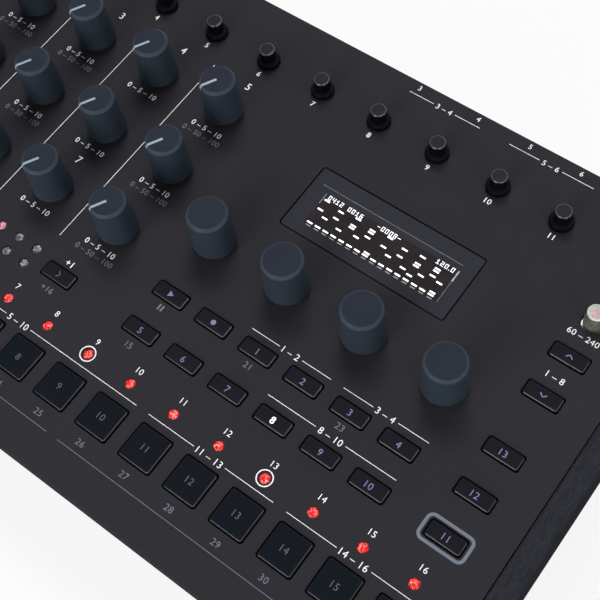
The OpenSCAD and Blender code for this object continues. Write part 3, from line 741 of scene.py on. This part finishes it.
@dataclass
class PointerKnob:
    """A tapered knob with a bevelled rim, a sunk hub and, where it has one, a pointer line."""

    top_d: float = 12.2
    base_d: float = 13.8
    height: float = 18.9
    edge: float = 0.85
    lift: float = 2.5
    gap: float = 0.6
    hub_d: float = 9.6
    shaft_d: float = 6.0
    shaft_tip: float = -9.7
    chamfer: float = 0.3
    pointer_w: float = 0.85
    pointer_t: float = 0.3
    pointer_angle: float = 240.0
    has_pointer: bool = True

    def build(self, body: str, place: Matrix) -> None:
        """Builds the knob on its shaft.

        Args:
            body: The knob's body and solid.
            place: The spot on the panel.
        """
        shape = Shape().take(self.shell(), place, None)
        hub = self.hub_d / 2
        # The hub, near-black as painted shade, fills the gap under the wall.
        shape.take(turned([(0.0, self.gap), (hub - self.chamfer, self.gap), (hub, self.gap + self.chamfer),
                           (hub, self.lift + 0.6), (0.0, self.lift + 0.6)], 40), place, 3)
        r = self.shaft_d / 2
        shaft = [(0.0, self.shaft_tip), (r - self.chamfer, self.shaft_tip)]
        shaft += [(r, self.shaft_tip + self.chamfer), (r, self.gap + 0.2), (0.0, self.gap + 0.2)]
        shape.take(turned(shaft, 32), place, 4)
        if self.has_pointer:
            turn = Matrix.Rotation(math.radians(self.pointer_angle), 4, "Z")
            shape.take(self.pointer(), place @ turn, 5)
        shape.piece(body + "_cap", body, [KNOB_SIDE, KNOB_RIM_HIGHLIGHT, KNOB_TOP_SHADE, KNOB_HUB_SHADE, POT_METAL, POINTER_INK],
                    "knob_plastic", (body,), 24)

    def shell(self) -> bmesh.types.BMesh:
        """Makes the outer wall with its bevelled rim and its flat top.

        Returns:
            The wall, whose faces are numbered 0 on the side, 1 on the rim, lighter as a painted highlight,
            and 2 on the top, darker as painted shade.
        """
        top, foot, edge = self.top_d / 2, self.base_d / 2, self.edge
        profile = [(0.0, self.lift + 0.4), (foot - 1.0, self.lift + 0.4), (foot - 0.7, self.lift)]
        profile += [(foot - 0.2, self.lift), (foot, self.lift + 0.2), (top + 0.02, self.height - edge - 0.12)]
        profile += [(top - 0.1, self.height - edge + 0.04), (top - edge, self.height), (0.0, self.height)]
        part = turned(profile, 72)
        for face in part.faces:
            up = face.normal.z
            face.material_index = 2 if up > 0.95 else 1 if up > 0.3 else 0
        return part

    def pointer(self) -> bmesh.types.BMesh:
        """Makes the line from the knob's middle over its rim, pointing along X.

        Returns:
            The line, as a thin solid.
        """
        rim, top, proud = self.height - self.edge, self.top_d / 2, 0.05
        path = [(0.1, self.height + proud), (top - self.edge, self.height + proud)]
        path += [(top - 0.1 + proud, rim + 0.04 + proud), (top + 0.02 + proud, rim - 0.12)]
        path += [(top + 0.04 + proud, rim - 0.9)]
        part = bmesh.new()
        verts = [part.verts.new((x, -self.pointer_w / 2, z)) for x, z in path]
        edges = [part.edges.new(pair) for pair in zip(verts, verts[1:])]
        new = bmesh.ops.extrude_edge_only(part, edges=edges)["geom"]
        bmesh.ops.translate(part, vec=(0.0, self.pointer_w, 0.0),
                            verts=[v for v in new if isinstance(v, bmesh.types.BMVert)])
        bmesh.ops.recalc_face_normals(part, faces=part.faces[:])
        if part.faces[0].normal.z < 0:
            bmesh.ops.reverse_faces(part, faces=part.faces[:])
        bmesh.ops.solidify(part, geom=part.faces[:], thickness=self.pointer_t)
        return part


@dataclass
class LevelKnob:
    """A short post with a flared skirt and its own finish for the side, the top and the edge."""

    post_d: float = 5.6
    skirt_d: float = 8.2
    height: float = 7.3
    edge: float = 0.65
    skirt_t: float = 1.0
    flare_h: float = 2.7
    gap: float = 0.3
    shaft_d: float = 6.0
    shaft_tip: float = -9.7
    rib: float = 0.0

    def profile(self) -> list[Spot]:
        """Draws the knob's half section.

        Returns:
            The radius and height of each point, from the foot to the top.
        """
        post, skirt = self.post_d / 2, self.skirt_d / 2
        rim = self.height - self.edge
        points = [(0.0, self.gap), (skirt - 0.15, self.gap), (skirt, self.gap + 0.15)]
        low, wide = self.gap + self.skirt_t, skirt - post - 0.12
        tall = self.flare_h - self.gap - self.skirt_t
        points += [(post + 0.12 + wide * c, low + tall * s) for c, s in arc((0.0, 0.0), 1.0, 0, 80, 6)]
        points += [(post + 0.12, self.flare_h + 0.1), (post, self.flare_h + 1.0)]
        points += arc((post - self.edge, rim), self.edge, 0, 90, 6)
        return points + [(0.0, self.height)]

    def post(self) -> bmesh.types.BMesh:
        """Makes the post and skirt.

        Returns:
            The post, whose faces are numbered 0 on the side, 2 on the top and 3 on the edge.
        """
        part = turned(self.profile(), 56)
        rim = self.height - self.edge
        for face in part.faces:
            high = face.calc_center_median().z > rim
            face.material_index = 2 if face.normal.z > 0.99 and high else 3 if high else 0
        for vert in part.verts if self.rib else ():
            turn = round(math.atan2(vert.co.y, vert.co.x) / (math.tau / 56)) % 4
            if self.flare_h + 0.9 < vert.co.z < rim + 0.01 and turn < 2:
                vert.co.xy *= 1.0 - self.rib / self.post_d
        return part

    def build(self, body: str, place: Matrix, finishes: tuple[Finish, Finish, Finish], slot: str) -> None:
        """Builds the knob on its shaft.

        Args:
            body: The knob's body and solid.
            place: The spot on the panel.
            finishes: The finishes of the side, the top and the edge.
            slot: The record's material slot.
        """
        shape = Shape().take(self.post(), None, None)
        shape.heat(Vector((1.6, 0.6, self.height)), self.post_d * 0.7)
        r = self.shaft_d / 2
        shaft = turned([(0.0, self.shaft_tip), (r, self.shaft_tip), (r, self.gap), (0.0, self.gap)], 32)
        shape.take(shaft, None, 1)
        shape.mesh.transform(place)
        side, face, edge = finishes
        shape.piece(body + "_cap", body, [side, POT_METAL, face, edge], slot, (body,), 40)


class Knobs:
    """Every rotary control, placed by its joint."""

    def __init__(self, frame: dict) -> None:
        """Reads where each rotary joint is.

        Args:
            frame: The loaded frame.
        """
        self.spots = {j["child"]: Vector(j["pos_m"]) for j in frame["joints"] if j["type"] == "hinge"}

    def place(self, body: str) -> Matrix:
        """Finds the place of a knob on the panel.

        Args:
            body: The knob's body.

        Returns:
            The matrix that carries the knob there.
        """
        spot = self.spots[body] / MM
        along = math.hypot(spot.y - LAYOUT.front_y, spot.z - LAYOUT.front_h)
        return LAYOUT.place(spot.x, along)

    def build(self) -> None:
        """Builds the pointer knobs, the encoders and the level knobs."""
        for body in self.spots:
            place = self.place(body)
            if body.startswith("encoder"):
                PointerKnob(13.3, 14.7, 19.1, has_pointer=False).build(body, place)
            elif body.startswith("level"):
                LevelKnob().build(body, place, (LEVEL_SIDE, LEVEL_FACE, LEVEL_EDGE), "level_plastic")
            elif body == "tempo_knob":
                LevelKnob(5.8, 6.6, rib=0.25).build(body, place, (TEMPO_SIDE, TEMPO_FACE, TEMPO_EDGE_HIGHLIGHT),
                                                    "tempo_plastic")
            elif body == "volume_knob":
                PointerKnob(20.0, 22.0, 16.0).build(body, place)
            else:
                PointerKnob().build(body, place)


# ------------------------------------------------------------------ pads and keys


@dataclass(frozen=True)
class KeySet:
    """The caps of one printed group, which move together."""

    body: str
    spots: tuple[Spot, ...]
    signs: tuple[str, ...]
    size: Spot
    finish: Finish
    legend: Finish
    slot: str
    lit: int = -1
    cap_r: float = 0.75
    rise: float = 0.7
    top_r: float = 0.38
    depth: float = 4.5
    legend_h: float = 2.3
    flange: float = 1.7

    def build(self) -> None:
        """Builds the caps with their legends and plungers."""
        shape = Shape()
        for index, (spot, sign) in enumerate(zip(self.spots, self.signs)):
            place = LAYOUT.place(*spot)
            shape.take(self.cap(), place, None)
            flange = block((self.size[0] + self.flange, self.size[1] + self.flange, 1.0), -2.5, 0.4)
            shape.take(flange, place, 3)
            plunger = turned([(0.0, -9.8), (1.4, -9.8), (1.5, -9.7), (1.5, -2.4), (0.0, -2.4)], 24)
            shape.take(plunger, place, 3)
            finish = 2 if index == self.lit else 1
            mark = legend(sign, self.legend_h, index == self.lit)
            shape.take(mark, LAYOUT.place(*spot, self.rise - 0.015), finish)
        shape.piece(self.body + "_caps", self.body, [self.finish, self.legend, LIT_GLOW, CAP_WALL_SHADE, CAP_EDGE],
                    self.slot, (self.body,), 24)

    def cap(self) -> bmesh.types.BMesh:
        """Makes one cap.

        Returns:
            The cap, whose faces are numbered 0 on the top, 3 on the walls and on the rear and left edges,
            near-black as painted shade, and 4 on the glossy front and right edges, which catch the lights.
        """
        part = block((*self.size, self.depth), self.rise - self.depth, self.cap_r, self.top_r)
        part.normal_update()
        for face in part.faces:
            across, along, up = face.normal
            # Only the front and right edges get the glossy edge finish; the rest of the rounding gets the
            # painted shade of the walls.
            lit_bevel = up > 0.1 and along < 0.12 and across > -0.12
            face.material_index = 0 if up > 0.98 else 4 if lit_bevel else 3
        return part


def legend(sign: str, height: float, bold: bool) -> bmesh.types.BMesh:
    """Makes the legend of a key: a number or one of the signs play, record, up, down, left and right.

    Args:
        sign: The number or the name of the sign.
        height: Height of a number.
        bold: Whether a number's strokes are bold.

    Returns:
        The legend, centred.
    """
    if sign == "play":
        part = bmesh.new()
        bmesh.ops.create_cone(part, cap_ends=True, segments=3, radius1=1.25, radius2=1.25, depth=0.04)
        part.transform(Matrix.Translation((-0.1, 0.0, 0.02)) @ Matrix.Rotation(math.radians(-90), 4, "Z"))
        return part
    if sign == "record":
        return turned([(0.0, 0.0), (0.9, 0.0), (0.9, 0.04), (0.0, 0.04)], 28)
    turns = {"up": 0, "left": 90, "down": 180, "right": 270}
    if sign in turns:
        strokes = [bar((-side * 1.1, -0.45), (side * 0.05, 0.6), 0.34, 0.04) for side in (1, -1)]
        part = Shape().take(strokes[0]).take(strokes[1]).mesh
        part.transform(Matrix.Rotation(math.radians(turns[sign]), 4, "Z"))
        return part
    return Writer(height, Weight.BOLD if bold else Weight.PLAIN).write(sign)


class Keys:
    """All step pads and small keys."""

    pad_size: Spot = (11.7, 11.7)
    key_size: Spot = (11.7, 5.0)

    def build(self) -> None:
        """Builds each group."""
        for first, last in ((1, 4), (5, 10), (11, 13), (14, 16)):
            KeySet(f"pads_{first}_to_{last}", tuple(LAYOUT.pads(first, last)),
                   tuple(str(n) for n in range(first, last + 1)), self.pad_size, PAD_PLASTIC, PAD_GLOW,
                   "pad_plastic").build()
        upper = LAYOUT.lower_y + LAYOUT.row_pitch
        self.small("transport_keys", LAYOUT.keys(upper, 0, 1), ("play", "record"))
        self.small("upper_keys", LAYOUT.keys(upper, 2, 5), ("1", "2", "3", "4"))
        self.small("lower_keys", LAYOUT.keys(LAYOUT.lower_y, 0, 5), ("5", "6", "7", "8", "9", "10"), lit=3)
        self.small("side_keys", LAYOUT.side_keys(), ("11", "12", "13", "down", "up"))
        self.small("arrow_keys", LAYOUT.arrow_keys(), ("left", "right"), DIM_GLOW)

    def small(self, body: str, spots: list[Spot], signs: tuple[str, ...], glow: Finish = KEY_GLOW,
              lit: int = -1) -> None:
        """Builds one group of small keys."""
        KeySet(body, tuple(spots), signs, self.key_size, KEY_PLASTIC, glow, "key_plastic", lit).build()


# ------------------------------------------------------------------ lamps and display


@dataclass
class Lamps:
    """The step lamps and the lamp grid, with their legs down to the board."""

    lamp_d: float = 3.34
    lit: int = 3
    shoulder: float = -0.55
    dome_h: float = 0.5
    drop: float = 13.0

    def dome(self) -> bmesh.types.BMesh:
        """Makes one lamp, whose low dome lies just below the panel's face.

        Returns:
            The lamp.
        """
        r = self.lamp_d / 2
        crown = [(r * x, self.shoulder + self.dome_h * z) for x, z in arc((0.0, 0.0), 1.0, 0, 90, 8)]
        return turned([(0.0, -self.drop), (r, -self.drop)] + crown[:-1] + [(0.0, crown[-1][1])], 32)

    def build(self) -> None:
        """Builds the red row and the clear grid."""
        grid = LAYOUT.grid_lamps()
        lit = grid.pop(self.lit)
        row = [(LAYOUT.pad_x(n), LAYOUT.lamp_y) for n in range(1, 17)]
        sets = (
            ("step_lamps", row, LAMP_RED),
            ("grid_lamps", grid, LAMP_CLEAR),
            ("lit_grid_lamp", [lit], LAMP_PINK),
        )
        for name, spots, finish in sets:
            shape = Shape()
            for spot in spots:
                place = LAYOUT.place(*spot)
                shape.take(self.dome(), place)
                shape.heat(place @ Vector((0.3, -0.45, self.shoulder + self.dome_h)), self.lamp_d * 0.62 * MM)
            shape.piece(name, "case", [finish], "lamp_plastic", ("indicator_lamps",))


GLYPHS = {
    "0": ("111", "101", "101", "101", "111"), "1": ("010", "110", "010", "010", "111"),
    "2": ("111", "001", "111", "100", "111"), "3": ("111", "001", "111", "001", "111"),
    "4": ("101", "101", "111", "001", "001"), "5": ("111", "100", "111", "001", "111"),
    "6": ("111", "100", "111", "101", "111"), "8": ("111", "101", "111", "101", "111"),
    "-": ("000", "000", "111", "000", "000"), ".": ("0", "0", "0", "0", "1"), " ": ("000",) * 5,
}


@dataclass(frozen=True)
class Beat:
    """One row of the bar graph, lit on every so many columns."""

    row: int
    every: int
    first: int

    def lit(self, column: int) -> bool:
        """Returns whether the row is lit in a column."""
        return column % self.every == self.first


@dataclass
class Display:
    """The tinted window with the lit module behind it."""

    window: Spot = (62.6, 25.0)
    window_t: float = 2.0
    glass: Spot = (51.2, 13.0)
    glass_at: Spot = (0.8, -1.9)
    column: float = 3.107
    first_x: float = -23.05
    floor_y: float = -7.25
    row: float = 0.965
    bar: Spot = (2.05, 0.56)
    dot: Spot = (0.39, 0.36)
    dot_size: float = 0.26
    echo: Spot = (1.8, 0.32)
    columns: int = 16
    hair: float = 0.16
    glint: float = 0.5
    beats: tuple[Beat, ...] = (
        Beat(10, 4, 0), Beat(9, 4, 2), Beat(8, 8, 6), Beat(7, 8, 4), Beat(6, 2, 0),
        Beat(5, 16, 15), Beat(4, 4, 1), Beat(3, 8, 3), Beat(2, 16, 12), Beat(1, 8, 7),
    )

    def build(self) -> None:
        """Builds the window, the painted highlights along the glass edges and the lit pixels."""
        x, y = LAYOUT.display
        shape = Shape().take(block((*self.window, self.window_t), -self.window_t, 0.8, 0.15, 2))
        active = block((*self.glass, 0.03), 0.0, 0.3)
        shape.take(active, Matrix.Translation((*self.glass_at, 0.0)), 1)
        shape.mesh.transform(LAYOUT.place(x, y, -0.02))
        shape.piece("display_window_pane", "case", [WINDOW_PLASTIC, GLASS_BLACK], "window_plastic",
                    ("display_window",))
        self.edges()
        self.pixels()

    def edges(self) -> None:
        """Builds the painted highlights along the glass and on the window over it: faint lines and brighter
        glints.
        """
        shape = Shape()
        (x, y), (w, d) = self.glass_at, self.glass
        left, right, low, high = x - w / 2, x + w / 2, y - d / 2, y + d / 2
        bend = (y + high) / 2 - 1.0
        lines = (
            ((left - 3.0, high + 2.3), (right, high + 2.3), self.hair, 0),
            ((right, low), (right, bend), self.hair, 0),
            ((right, bend), (right, high), self.glint, 1),
            ((left, bend), (left, high), self.hair * 2, 0),
        )
        for start, end, width, number in lines:
            shape.take(bar(start, end, width, 0.04), None, number)
        shape.mesh.transform(LAYOUT.place(*LAYOUT.display, 0.0))
        shape.piece("display_edge_highlights", "case", [GLASS_EDGE_HIGHLIGHT, GLASS_GLINT], "window_plastic")

    def pixels(self) -> None:
        """Builds the pixel rows: a bar graph of steps, with a dim painted reflection under each bottom bar,
        and three numbers.
        """
        shape = Shape()
        for column in range(self.columns):
            x = self.first_x + column * self.column
            for level in (0, *(beat.row for beat in self.beats if beat.lit(column))):
                y = self.floor_y + level * self.row
                shape.take(block((*self.bar, 0.04)), Matrix.Translation((x, y, 0.0)))
            # A dim painted reflection of the bottom bar, just below it.
            echo = block((*self.echo, 0.03))
            shape.take(echo, Matrix.Translation((x + 0.1, self.floor_y - 1.1, 0.0)), 1)
        self.characters(shape, "0412 0016", -23.3, 4.5)
        self.characters(shape, "-0008-", -3.9, 4.5)
        self.characters(shape, "120.0", 18.7, 4.5)
        shape.mesh.transform(LAYOUT.place(*LAYOUT.display, 0.02))
        shape.piece("display_pixels", "case", [PIXEL_ON, PIXEL_REFLECTION], "window_plastic")

    def characters(self, shape: Shape, text: str, x: float, y: float) -> None:
        """Sets pixel characters from a left end.

        Args:
            shape: The shape that takes the pixels.
            text: The characters.
            x: The x of the first column of pixels.
            y: The y of the top row of pixels.
        """
        wide, high = self.dot
        for char in text:
            rows = GLYPHS[char]
            for r, bits in enumerate(rows):
                for c, bit in enumerate(bits):
                    if bit == "1":
                        spot = Matrix.Translation((x + c * wide, y - r * high, 0.0))
                        shape.take(block((self.dot_size, self.dot_size, 0.04)), spot)
            x += (len(rows[0]) + 1) * wide


# ------------------------------------------------------------------ print


class Print:
    """The printed lines, rings, numbers and signs of the top panel."""

    thick: float = 0.03

    def __init__(self) -> None:
        """Starts with nothing printed."""
        self.white = Shape()
        self.blue = Shape()

    def line(self, sheet: Shape, start: Spot, end: Spot, width: float = 0.19) -> None:
        """Prints a straight line."""
        sheet.take(bar(start, end, width, self.thick))

    def text(self, sheet: Shape, text: str, x: float, y: float, height: float = 2.1,
             weight: Weight = Weight.PLAIN) -> None:
        """Prints numbers or signs round a middle point."""
        sheet.take(Writer(height, weight, self.thick).write(text), Matrix.Translation((x, y, 0.0)))

    def heading(self, text: str, left: float, right: float, y: float, height: float = 2.3) -> None:
        """Prints a line that its heading breaks in the middle.

        Args:
            text: The heading.
            left: The x of the line's left end.
            right: The x of the line's right end.
            y: The line's y.
            height: The heading's height.
        """
        half = Writer(height).span(text) / 2 + 1.2
        middle = (left + right) / 2
        self.line(self.white, (left, y), (middle - half, y))
        self.line(self.white, (middle + half, y), (right, y))
        self.text(self.white, text, middle, y, height)

    def build(self) -> None:
        """Prints everything."""
        self.step_row()
        self.keys()
        self.voices()
        self.rear_edge()
        sheets = (("white_print", self.white, WHITE_INK), ("blue_print", self.blue, BLUE_INK))
        for name, sheet, finish in sheets:
            sheet.mesh.transform(LAYOUT.place(0.0, 0.0, 0.0))
            sheet.piece(name, "case", [finish], "panel_paint")

    def step_row(self) -> None:
        """Prints the step numbers, the rings, the group lines and the numbers under the pads."""
        for n in range(1, 17):
            x = LAYOUT.pad_x(n)
            self.text(self.white, str(n), x, LAYOUT.lamp_y + 4.9)
            self.text(self.blue, str(n + 16), x, 15.5, 2.2)
            if n % 4 == 1:
                circle = ring(2.33, 2.71, 0.0, self.thick, 56)
                self.white.take(circle, Matrix.Translation((x - 0.1, LAYOUT.lamp_y, 0.0)))
        for first, last in ((1, 4), (5, 10), (11, 13), (14, 16)):
            left, right = LAYOUT.pad_x(first) - 6.3, LAYOUT.pad_x(last) + 6.3
            self.heading(f"{first} – {last}", left, right, LAYOUT.lamp_y - 4.35)
        for first, last in ((1, 4), (5, 9), (10, 16)):
            left, right = LAYOUT.pad_x(first) - 6.6, LAYOUT.pad_x(last) + 6.4
            self.line(self.blue, (left, 12.2), (right, 12.2))

    def keys(self) -> None:
        """Prints the headings and second numbers round the small keys."""
        y = LAYOUT.lamp_y + 36.0
        self.heading("1 – 2", 94.4, 124.6, y)
        self.heading("3 – 4", 129.3, 159.8, y)
        self.heading("8 – 10", 111.8, 158.4, LAYOUT.lamp_y + 21.3)
        self.text(self.blue, "15", LAYOUT.pad_x(9.5), LAYOUT.lower_y - 5.8, 2.2)
        upper = LAYOUT.lower_y + LAYOUT.row_pitch
        for key, text in ((2, "21"), (4, "23")):
            x = LAYOUT.pad_x(9.5 + key)
            self.text(self.blue, text, x, upper - 5.2, 2.2)
        x = LAYOUT.pad_x(9.5)
        for side in (-0.62, 0.62):
            self.line(self.blue, (x + side, upper - 6.4), (x + side, upper - 4.2), 0.62)
        x = LAYOUT.arrow_keys()[1][0]
        self.text(self.white, "+1", x, LAYOUT.lower_y + 5.2, 2.3, Weight.BOLD)
        self.text(self.blue, "+16", x, LAYOUT.lower_y - 5.8, 2.2)
        x = LAYOUT.arrow_keys()[0][0]
        self.text(self.white, "−1", x, LAYOUT.lower_y + 5.2, 2.3, Weight.BOLD)
        self.text(self.blue, "−16", x, LAYOUT.lower_y - 5.8, 2.2)
        x = LAYOUT.last_pad_x
        self.text(self.white, "1 – 8", x, LAYOUT.page_y + 7.1, 2.2)
        self.text(self.white, "60 – 240", x, LAYOUT.lamp_y + 90.2, 2.1)
        self.frame_ring(x, LAYOUT.lower_y)

    def frame_ring(self, x: float, y: float) -> None:
        """Prints the thick rounded frame round the front key of the side column.

        Args:
            x: The key's x.
            y: The key's y.
        """
        outer = block((15.9, 9.0, self.thick), 0.0, 2.3)
        faces = [f for f in outer.faces if abs(f.normal.z) > 0.9]
        bmesh.ops.inset_region(outer, faces=faces, thickness=1.0, use_even_offset=True)
        inner = [f for f in outer.faces if abs(f.normal.z) > 0.9 and f.calc_area() > 60]
        bmesh.ops.bridge_loops(outer, edges=[e for f in inner for e in f.edges])
        bmesh.ops.delete(outer, geom=inner, context="FACES_ONLY")
        self.blue.take(outer, Matrix.Translation((x, y, 0.0)))

    def voices(self) -> None:
        """Prints the separators, the headings of the columns and the ranges of the knobs."""
        for column in range(5):
            x = LAYOUT.column_x(column)
            self.line(self.white, (x - 15.9, 65.5), (x - 15.9, 148.0), 0.2)
            self.text(self.white, str(column + 1), x, LAYOUT.lamp_y + 108.4, 2.9, Weight.FIRM)
            for row in range(3):
                x, y = LAYOUT.column_x(column) - 1.35, 69.3 + row * 27.95
                self.text(self.white, "0 – 5 – 10", x, y, 2.1, Weight.FIRM)
                if column != 3:
                    self.text(self.blue, "0 – 50 – 100", x, y - 3.1, 2.1)
        self.text(self.white, "7", LAYOUT.column_x(3) - 1.0, LAYOUT.lamp_y + 52.6, 2.9, Weight.FIRM)
        for index in range(11):
            x = LAYOUT.column_x(8) - (10 - index) * 23.36
            self.text(self.white, str(index + 1), x - 0.35, 153.5, 2.1, Weight.BOLD)

    def rear_edge(self) -> None:
        """Prints the numbers over the sockets."""
        y = LAYOUT.lamp_y + 137.1
        self.heading("3 – 4", 84.6, 112.6, y, 2.1)
        self.heading("5 – 6", 124.0, 155.4, y, 2.1)
        for x, text in ((87.0, "3"), (110.4, "4"), (130.4, "5"), (149.5, "6")):
            self.text(self.white, text, x, y + 2.9, 2.0)


# ------------------------------------------------------------------ case


@dataclass
class Case:
    """The wooden cheeks and the finishes of the solids that stay as they are."""

    body_w: float = 408.0
    rim_x: float = 6.9
    outer_r: float = 1.0
    inner_r: float = 0.3
    flat: float = 0.6

    def build(self, nodes: dict[str, bpy.types.Object]) -> None:
        """Builds the cheeks and paints the solids.

        Args:
            nodes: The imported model's solids by name.
        """
        for name in ("left_cheek", "right_cheek"):
            self.cheek(name, nodes[name])
        finishes = {
            "top_panel": PANEL_PAINT, "bottom_case": CASE_PAINT, "rear_panel": CASE_PAINT,
            "rubber_feet": RUBBER, "case_screws": SCREW_STEEL, "display_module": GLASS_BLACK,
            "control_board": BOARD, "main_board": BOARD, "pot_bodies": POT_METAL,
            "key_switches": SWITCH_PLASTIC, "audio_jacks": NICKEL, "data_sockets": SOCKET_PLASTIC,
            "power_button": KEY_PLASTIC,
        }
        for name, finish in finishes.items():
            data = nodes[name].data
            data.materials.clear()
            data.materials.append(finish.material())
            LOG.info("%s: keeps its solid, with %s", name, finish.name)
        # The fold and the hole walls get the painted shade.
        self.edges(nodes["top_panel"].data)

    def edges(self, sheet: bpy.types.Mesh) -> None:
        """Paints shade on the sheet's folded and cut edges: a deeper black where the fold and the hole walls
        lie in shadow.

        Args:
            sheet: The top panel's mesh.
        """
        sheet.materials.append(EDGE_SHADE.material())
        up = LAYOUT.place(0.0, 0.0).to_3x3() @ Vector((0.0, 0.0, 1.0 / MM))
        for face in sheet.polygons:
            face.material_index = 0 if abs(face.normal.dot(up)) > self.flat else 1

    def cheek(self, name: str, solid: bpy.types.Object) -> None:
        """Builds a cheek from its solid, with softly rounded outer edges.

        Args:
            name: The solid's name.
            solid: The solid.
        """
        shape = Shape()
        part = bmesh.new()
        part.from_mesh(solid.data)
        part.transform(Matrix.Scale(1 / MM, 4))
        bmesh.ops.remove_doubles(part, verts=part.verts[:], dist=1e-3)
        bmesh.ops.dissolve_limit(part, angle_limit=math.radians(2), verts=part.verts[:], edges=part.edges[:])
        side = 1.0 if name.startswith("right") else -1.0
        for inset, radius, segments in ((0.0, self.outer_r, 3), (self.rim_x, self.inner_r, 2)):
            face_x = side * (self.body_w / 2 - inset)
            rim = [e for e in part.edges if all(abs(v.co.x - face_x) < 0.01 for v in e.verts)]
            round_edges(part, rim, radius, segments)
        shape.take(part, Matrix.Scale(MM, 4))
        shape.piece(name + "_wood", "case", [CHEEK_WOOD], "cheek_wood", (name,))


# ------------------------------------------------------------------ room


@dataclass
class Room:
    """The floor, the lights and the camera."""

    lens: float = 67.27
    position: tuple[float, float, float] = (0.2153, -0.1574, 0.3484)
    heading: float = 36.17
    tilt: float = 33.58
    roll: float = 0.85
    floor_size: float = 6.0
    floor_drop: float = 0.0001
    white_share: float = 0.87
    ambient: float = 0.19

    def build(self) -> None:
        """Builds the room."""
        scene = bpy.context.scene
        scene.view_settings.view_transform = "Standard"
        self.camera(scene)
        self.floor()
        self.world(scene)
        self.light("key_light", (-0.3, 0.42, 1.22), 0.4, 7.6)
        self.light("top_light", (0.02, 0.32, 1.3), 0.36, 3.6)
        self.light("front_light", (-0.02, -0.97, 0.3), 0.6, 7.5)
        self.light("side_light", (1.0, -0.42, 0.42), 0.45, 3.2)
        self.light("edge_light", (1.1, 0.32, 0.46), 0.3, 1.5)

    def camera(self, scene: bpy.types.Scene) -> None:
        """Places the camera.

        Args:
            scene: The scene that it looks at.
        """
        data = bpy.data.cameras.new("camera")
        data.lens, data.sensor_width = self.lens, 36.0
        data.clip_start, data.clip_end = 0.01, 20.0
        place = Matrix.Translation(self.position)
        for angle, axis in ((self.heading, "Z"), (self.tilt, "X"), (self.roll, "Z")):
            place @= Matrix.Rotation(math.radians(angle), 4, axis)
        camera = bpy.data.objects.new("camera", data)
        camera.matrix_world = place
        scene.collection.objects.link(camera)
        scene.camera = camera

    def floor(self) -> None:
        """Lays the pale floor, which keeps the machine's shadow."""
        part = bmesh.new()
        bmesh.ops.create_grid(part, x_segments=1, y_segments=1, size=self.floor_size,
                              matrix=Matrix.Translation((0.0, 0.0, -self.floor_drop)))
        data = bpy.data.meshes.new("floor")
        part.to_mesh(data)
        part.free()
        tree = Tree("floor")
        rays = tree.add("LightPath").outputs
        ray = rays["Is Camera Ray"]
        for other in ("Is Glossy Ray", "Is Transmission Ray"):
            ray = tree.add("Math", {0: ray, 1: rays[other]}, operation="MAXIMUM").outputs[0]
        matte = tree.add("BsdfDiffuse", {"Color": (0.8, 0.8, 0.8, 1.0)}).outputs[0]
        glow = tree.add("Emission", {"Color": (1.0, 1.0, 1.0, 1.0), "Strength": 1.0}).outputs[0]
        share = tree.add("Math", {0: ray, 1: self.white_share}, operation="MULTIPLY").outputs[0]
        lit = tree.add("MixShader", {0: share, 1: matte, 2: glow}).outputs[0]
        under = tree.add("NewGeometry").outputs["Backfacing"]
        open_side = tree.add("BsdfTransparent").outputs[0]
        data.materials.append(tree.finish(tree.add("MixShader", {0: under, 1: lit, 2: open_side})))
        floor = bpy.data.objects.new("floor", data)
        bpy.context.scene.collection.objects.link(floor)

    def world(self, scene: bpy.types.Scene) -> None:
        """Sets the pale surroundings.

        Args:
            scene: The scene that they surround.
        """
        world = bpy.data.worlds.new("room")
        world.use_nodes = True
        scene.world = world
        nodes, links = world.node_tree.nodes, world.node_tree.links
        nodes.clear()
        rays = nodes.new("ShaderNodeLightPath").outputs
        ray = rays["Is Camera Ray"]
        for other in ("Is Glossy Ray", "Is Transmission Ray"):
            either = nodes.new("ShaderNodeMath")
            either.operation = "MAXIMUM"
            links.new(ray, either.inputs[0])
            links.new(rays[other], either.inputs[1])
            ray = either.outputs[0]
        dim, white = nodes.new("ShaderNodeBackground"), nodes.new("ShaderNodeBackground")
        dim.inputs["Color"].default_value = white.inputs["Color"].default_value = (1.0, 1.0, 1.0, 1.0)
        dim.inputs["Strength"].default_value = self.ambient
        white.inputs["Strength"].default_value = 1.0
        mix, out = nodes.new("ShaderNodeMixShader"), nodes.new("ShaderNodeOutputWorld")
        links.new(ray, mix.inputs[0])
        links.new(dim.outputs[0], mix.inputs[1])
        links.new(white.outputs[0], mix.inputs[2])
        links.new(mix.outputs[0], out.inputs[0])

    def light(self, name: str, position: tuple[float, float, float], size: float, power: float) -> None:
        """Hangs a soft square light that faces the machine.

        Args:
            name: The light's name.
            position: Its place, in metres.
            size: The length of its sides, in metres.
            power: Its power, in watts.
        """
        data = bpy.data.lights.new(name, "AREA")
        data.size, data.energy = size, power
        lamp = bpy.data.objects.new(name, data)
        aim = Vector((0.05, 0.0, 0.05)) - Vector(position)
        lamp.matrix_world = Matrix.Translation(position) @ aim.to_track_quat("-Z", "Y").to_matrix().to_4x4()
        bpy.context.scene.collection.objects.link(lamp)


def main() -> None:
    """Builds the whole scene in order."""
    logging.basicConfig(level=logging.INFO, format="%(name)s: %(message)s")
    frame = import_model()
    Room().build()
    Case().build(frame["nodes"])
    Knobs(frame).build()
    Keys().build()
    Lamps().build()
    Display().build()
    Print().build()


if __name__ == "__main__":
    main()
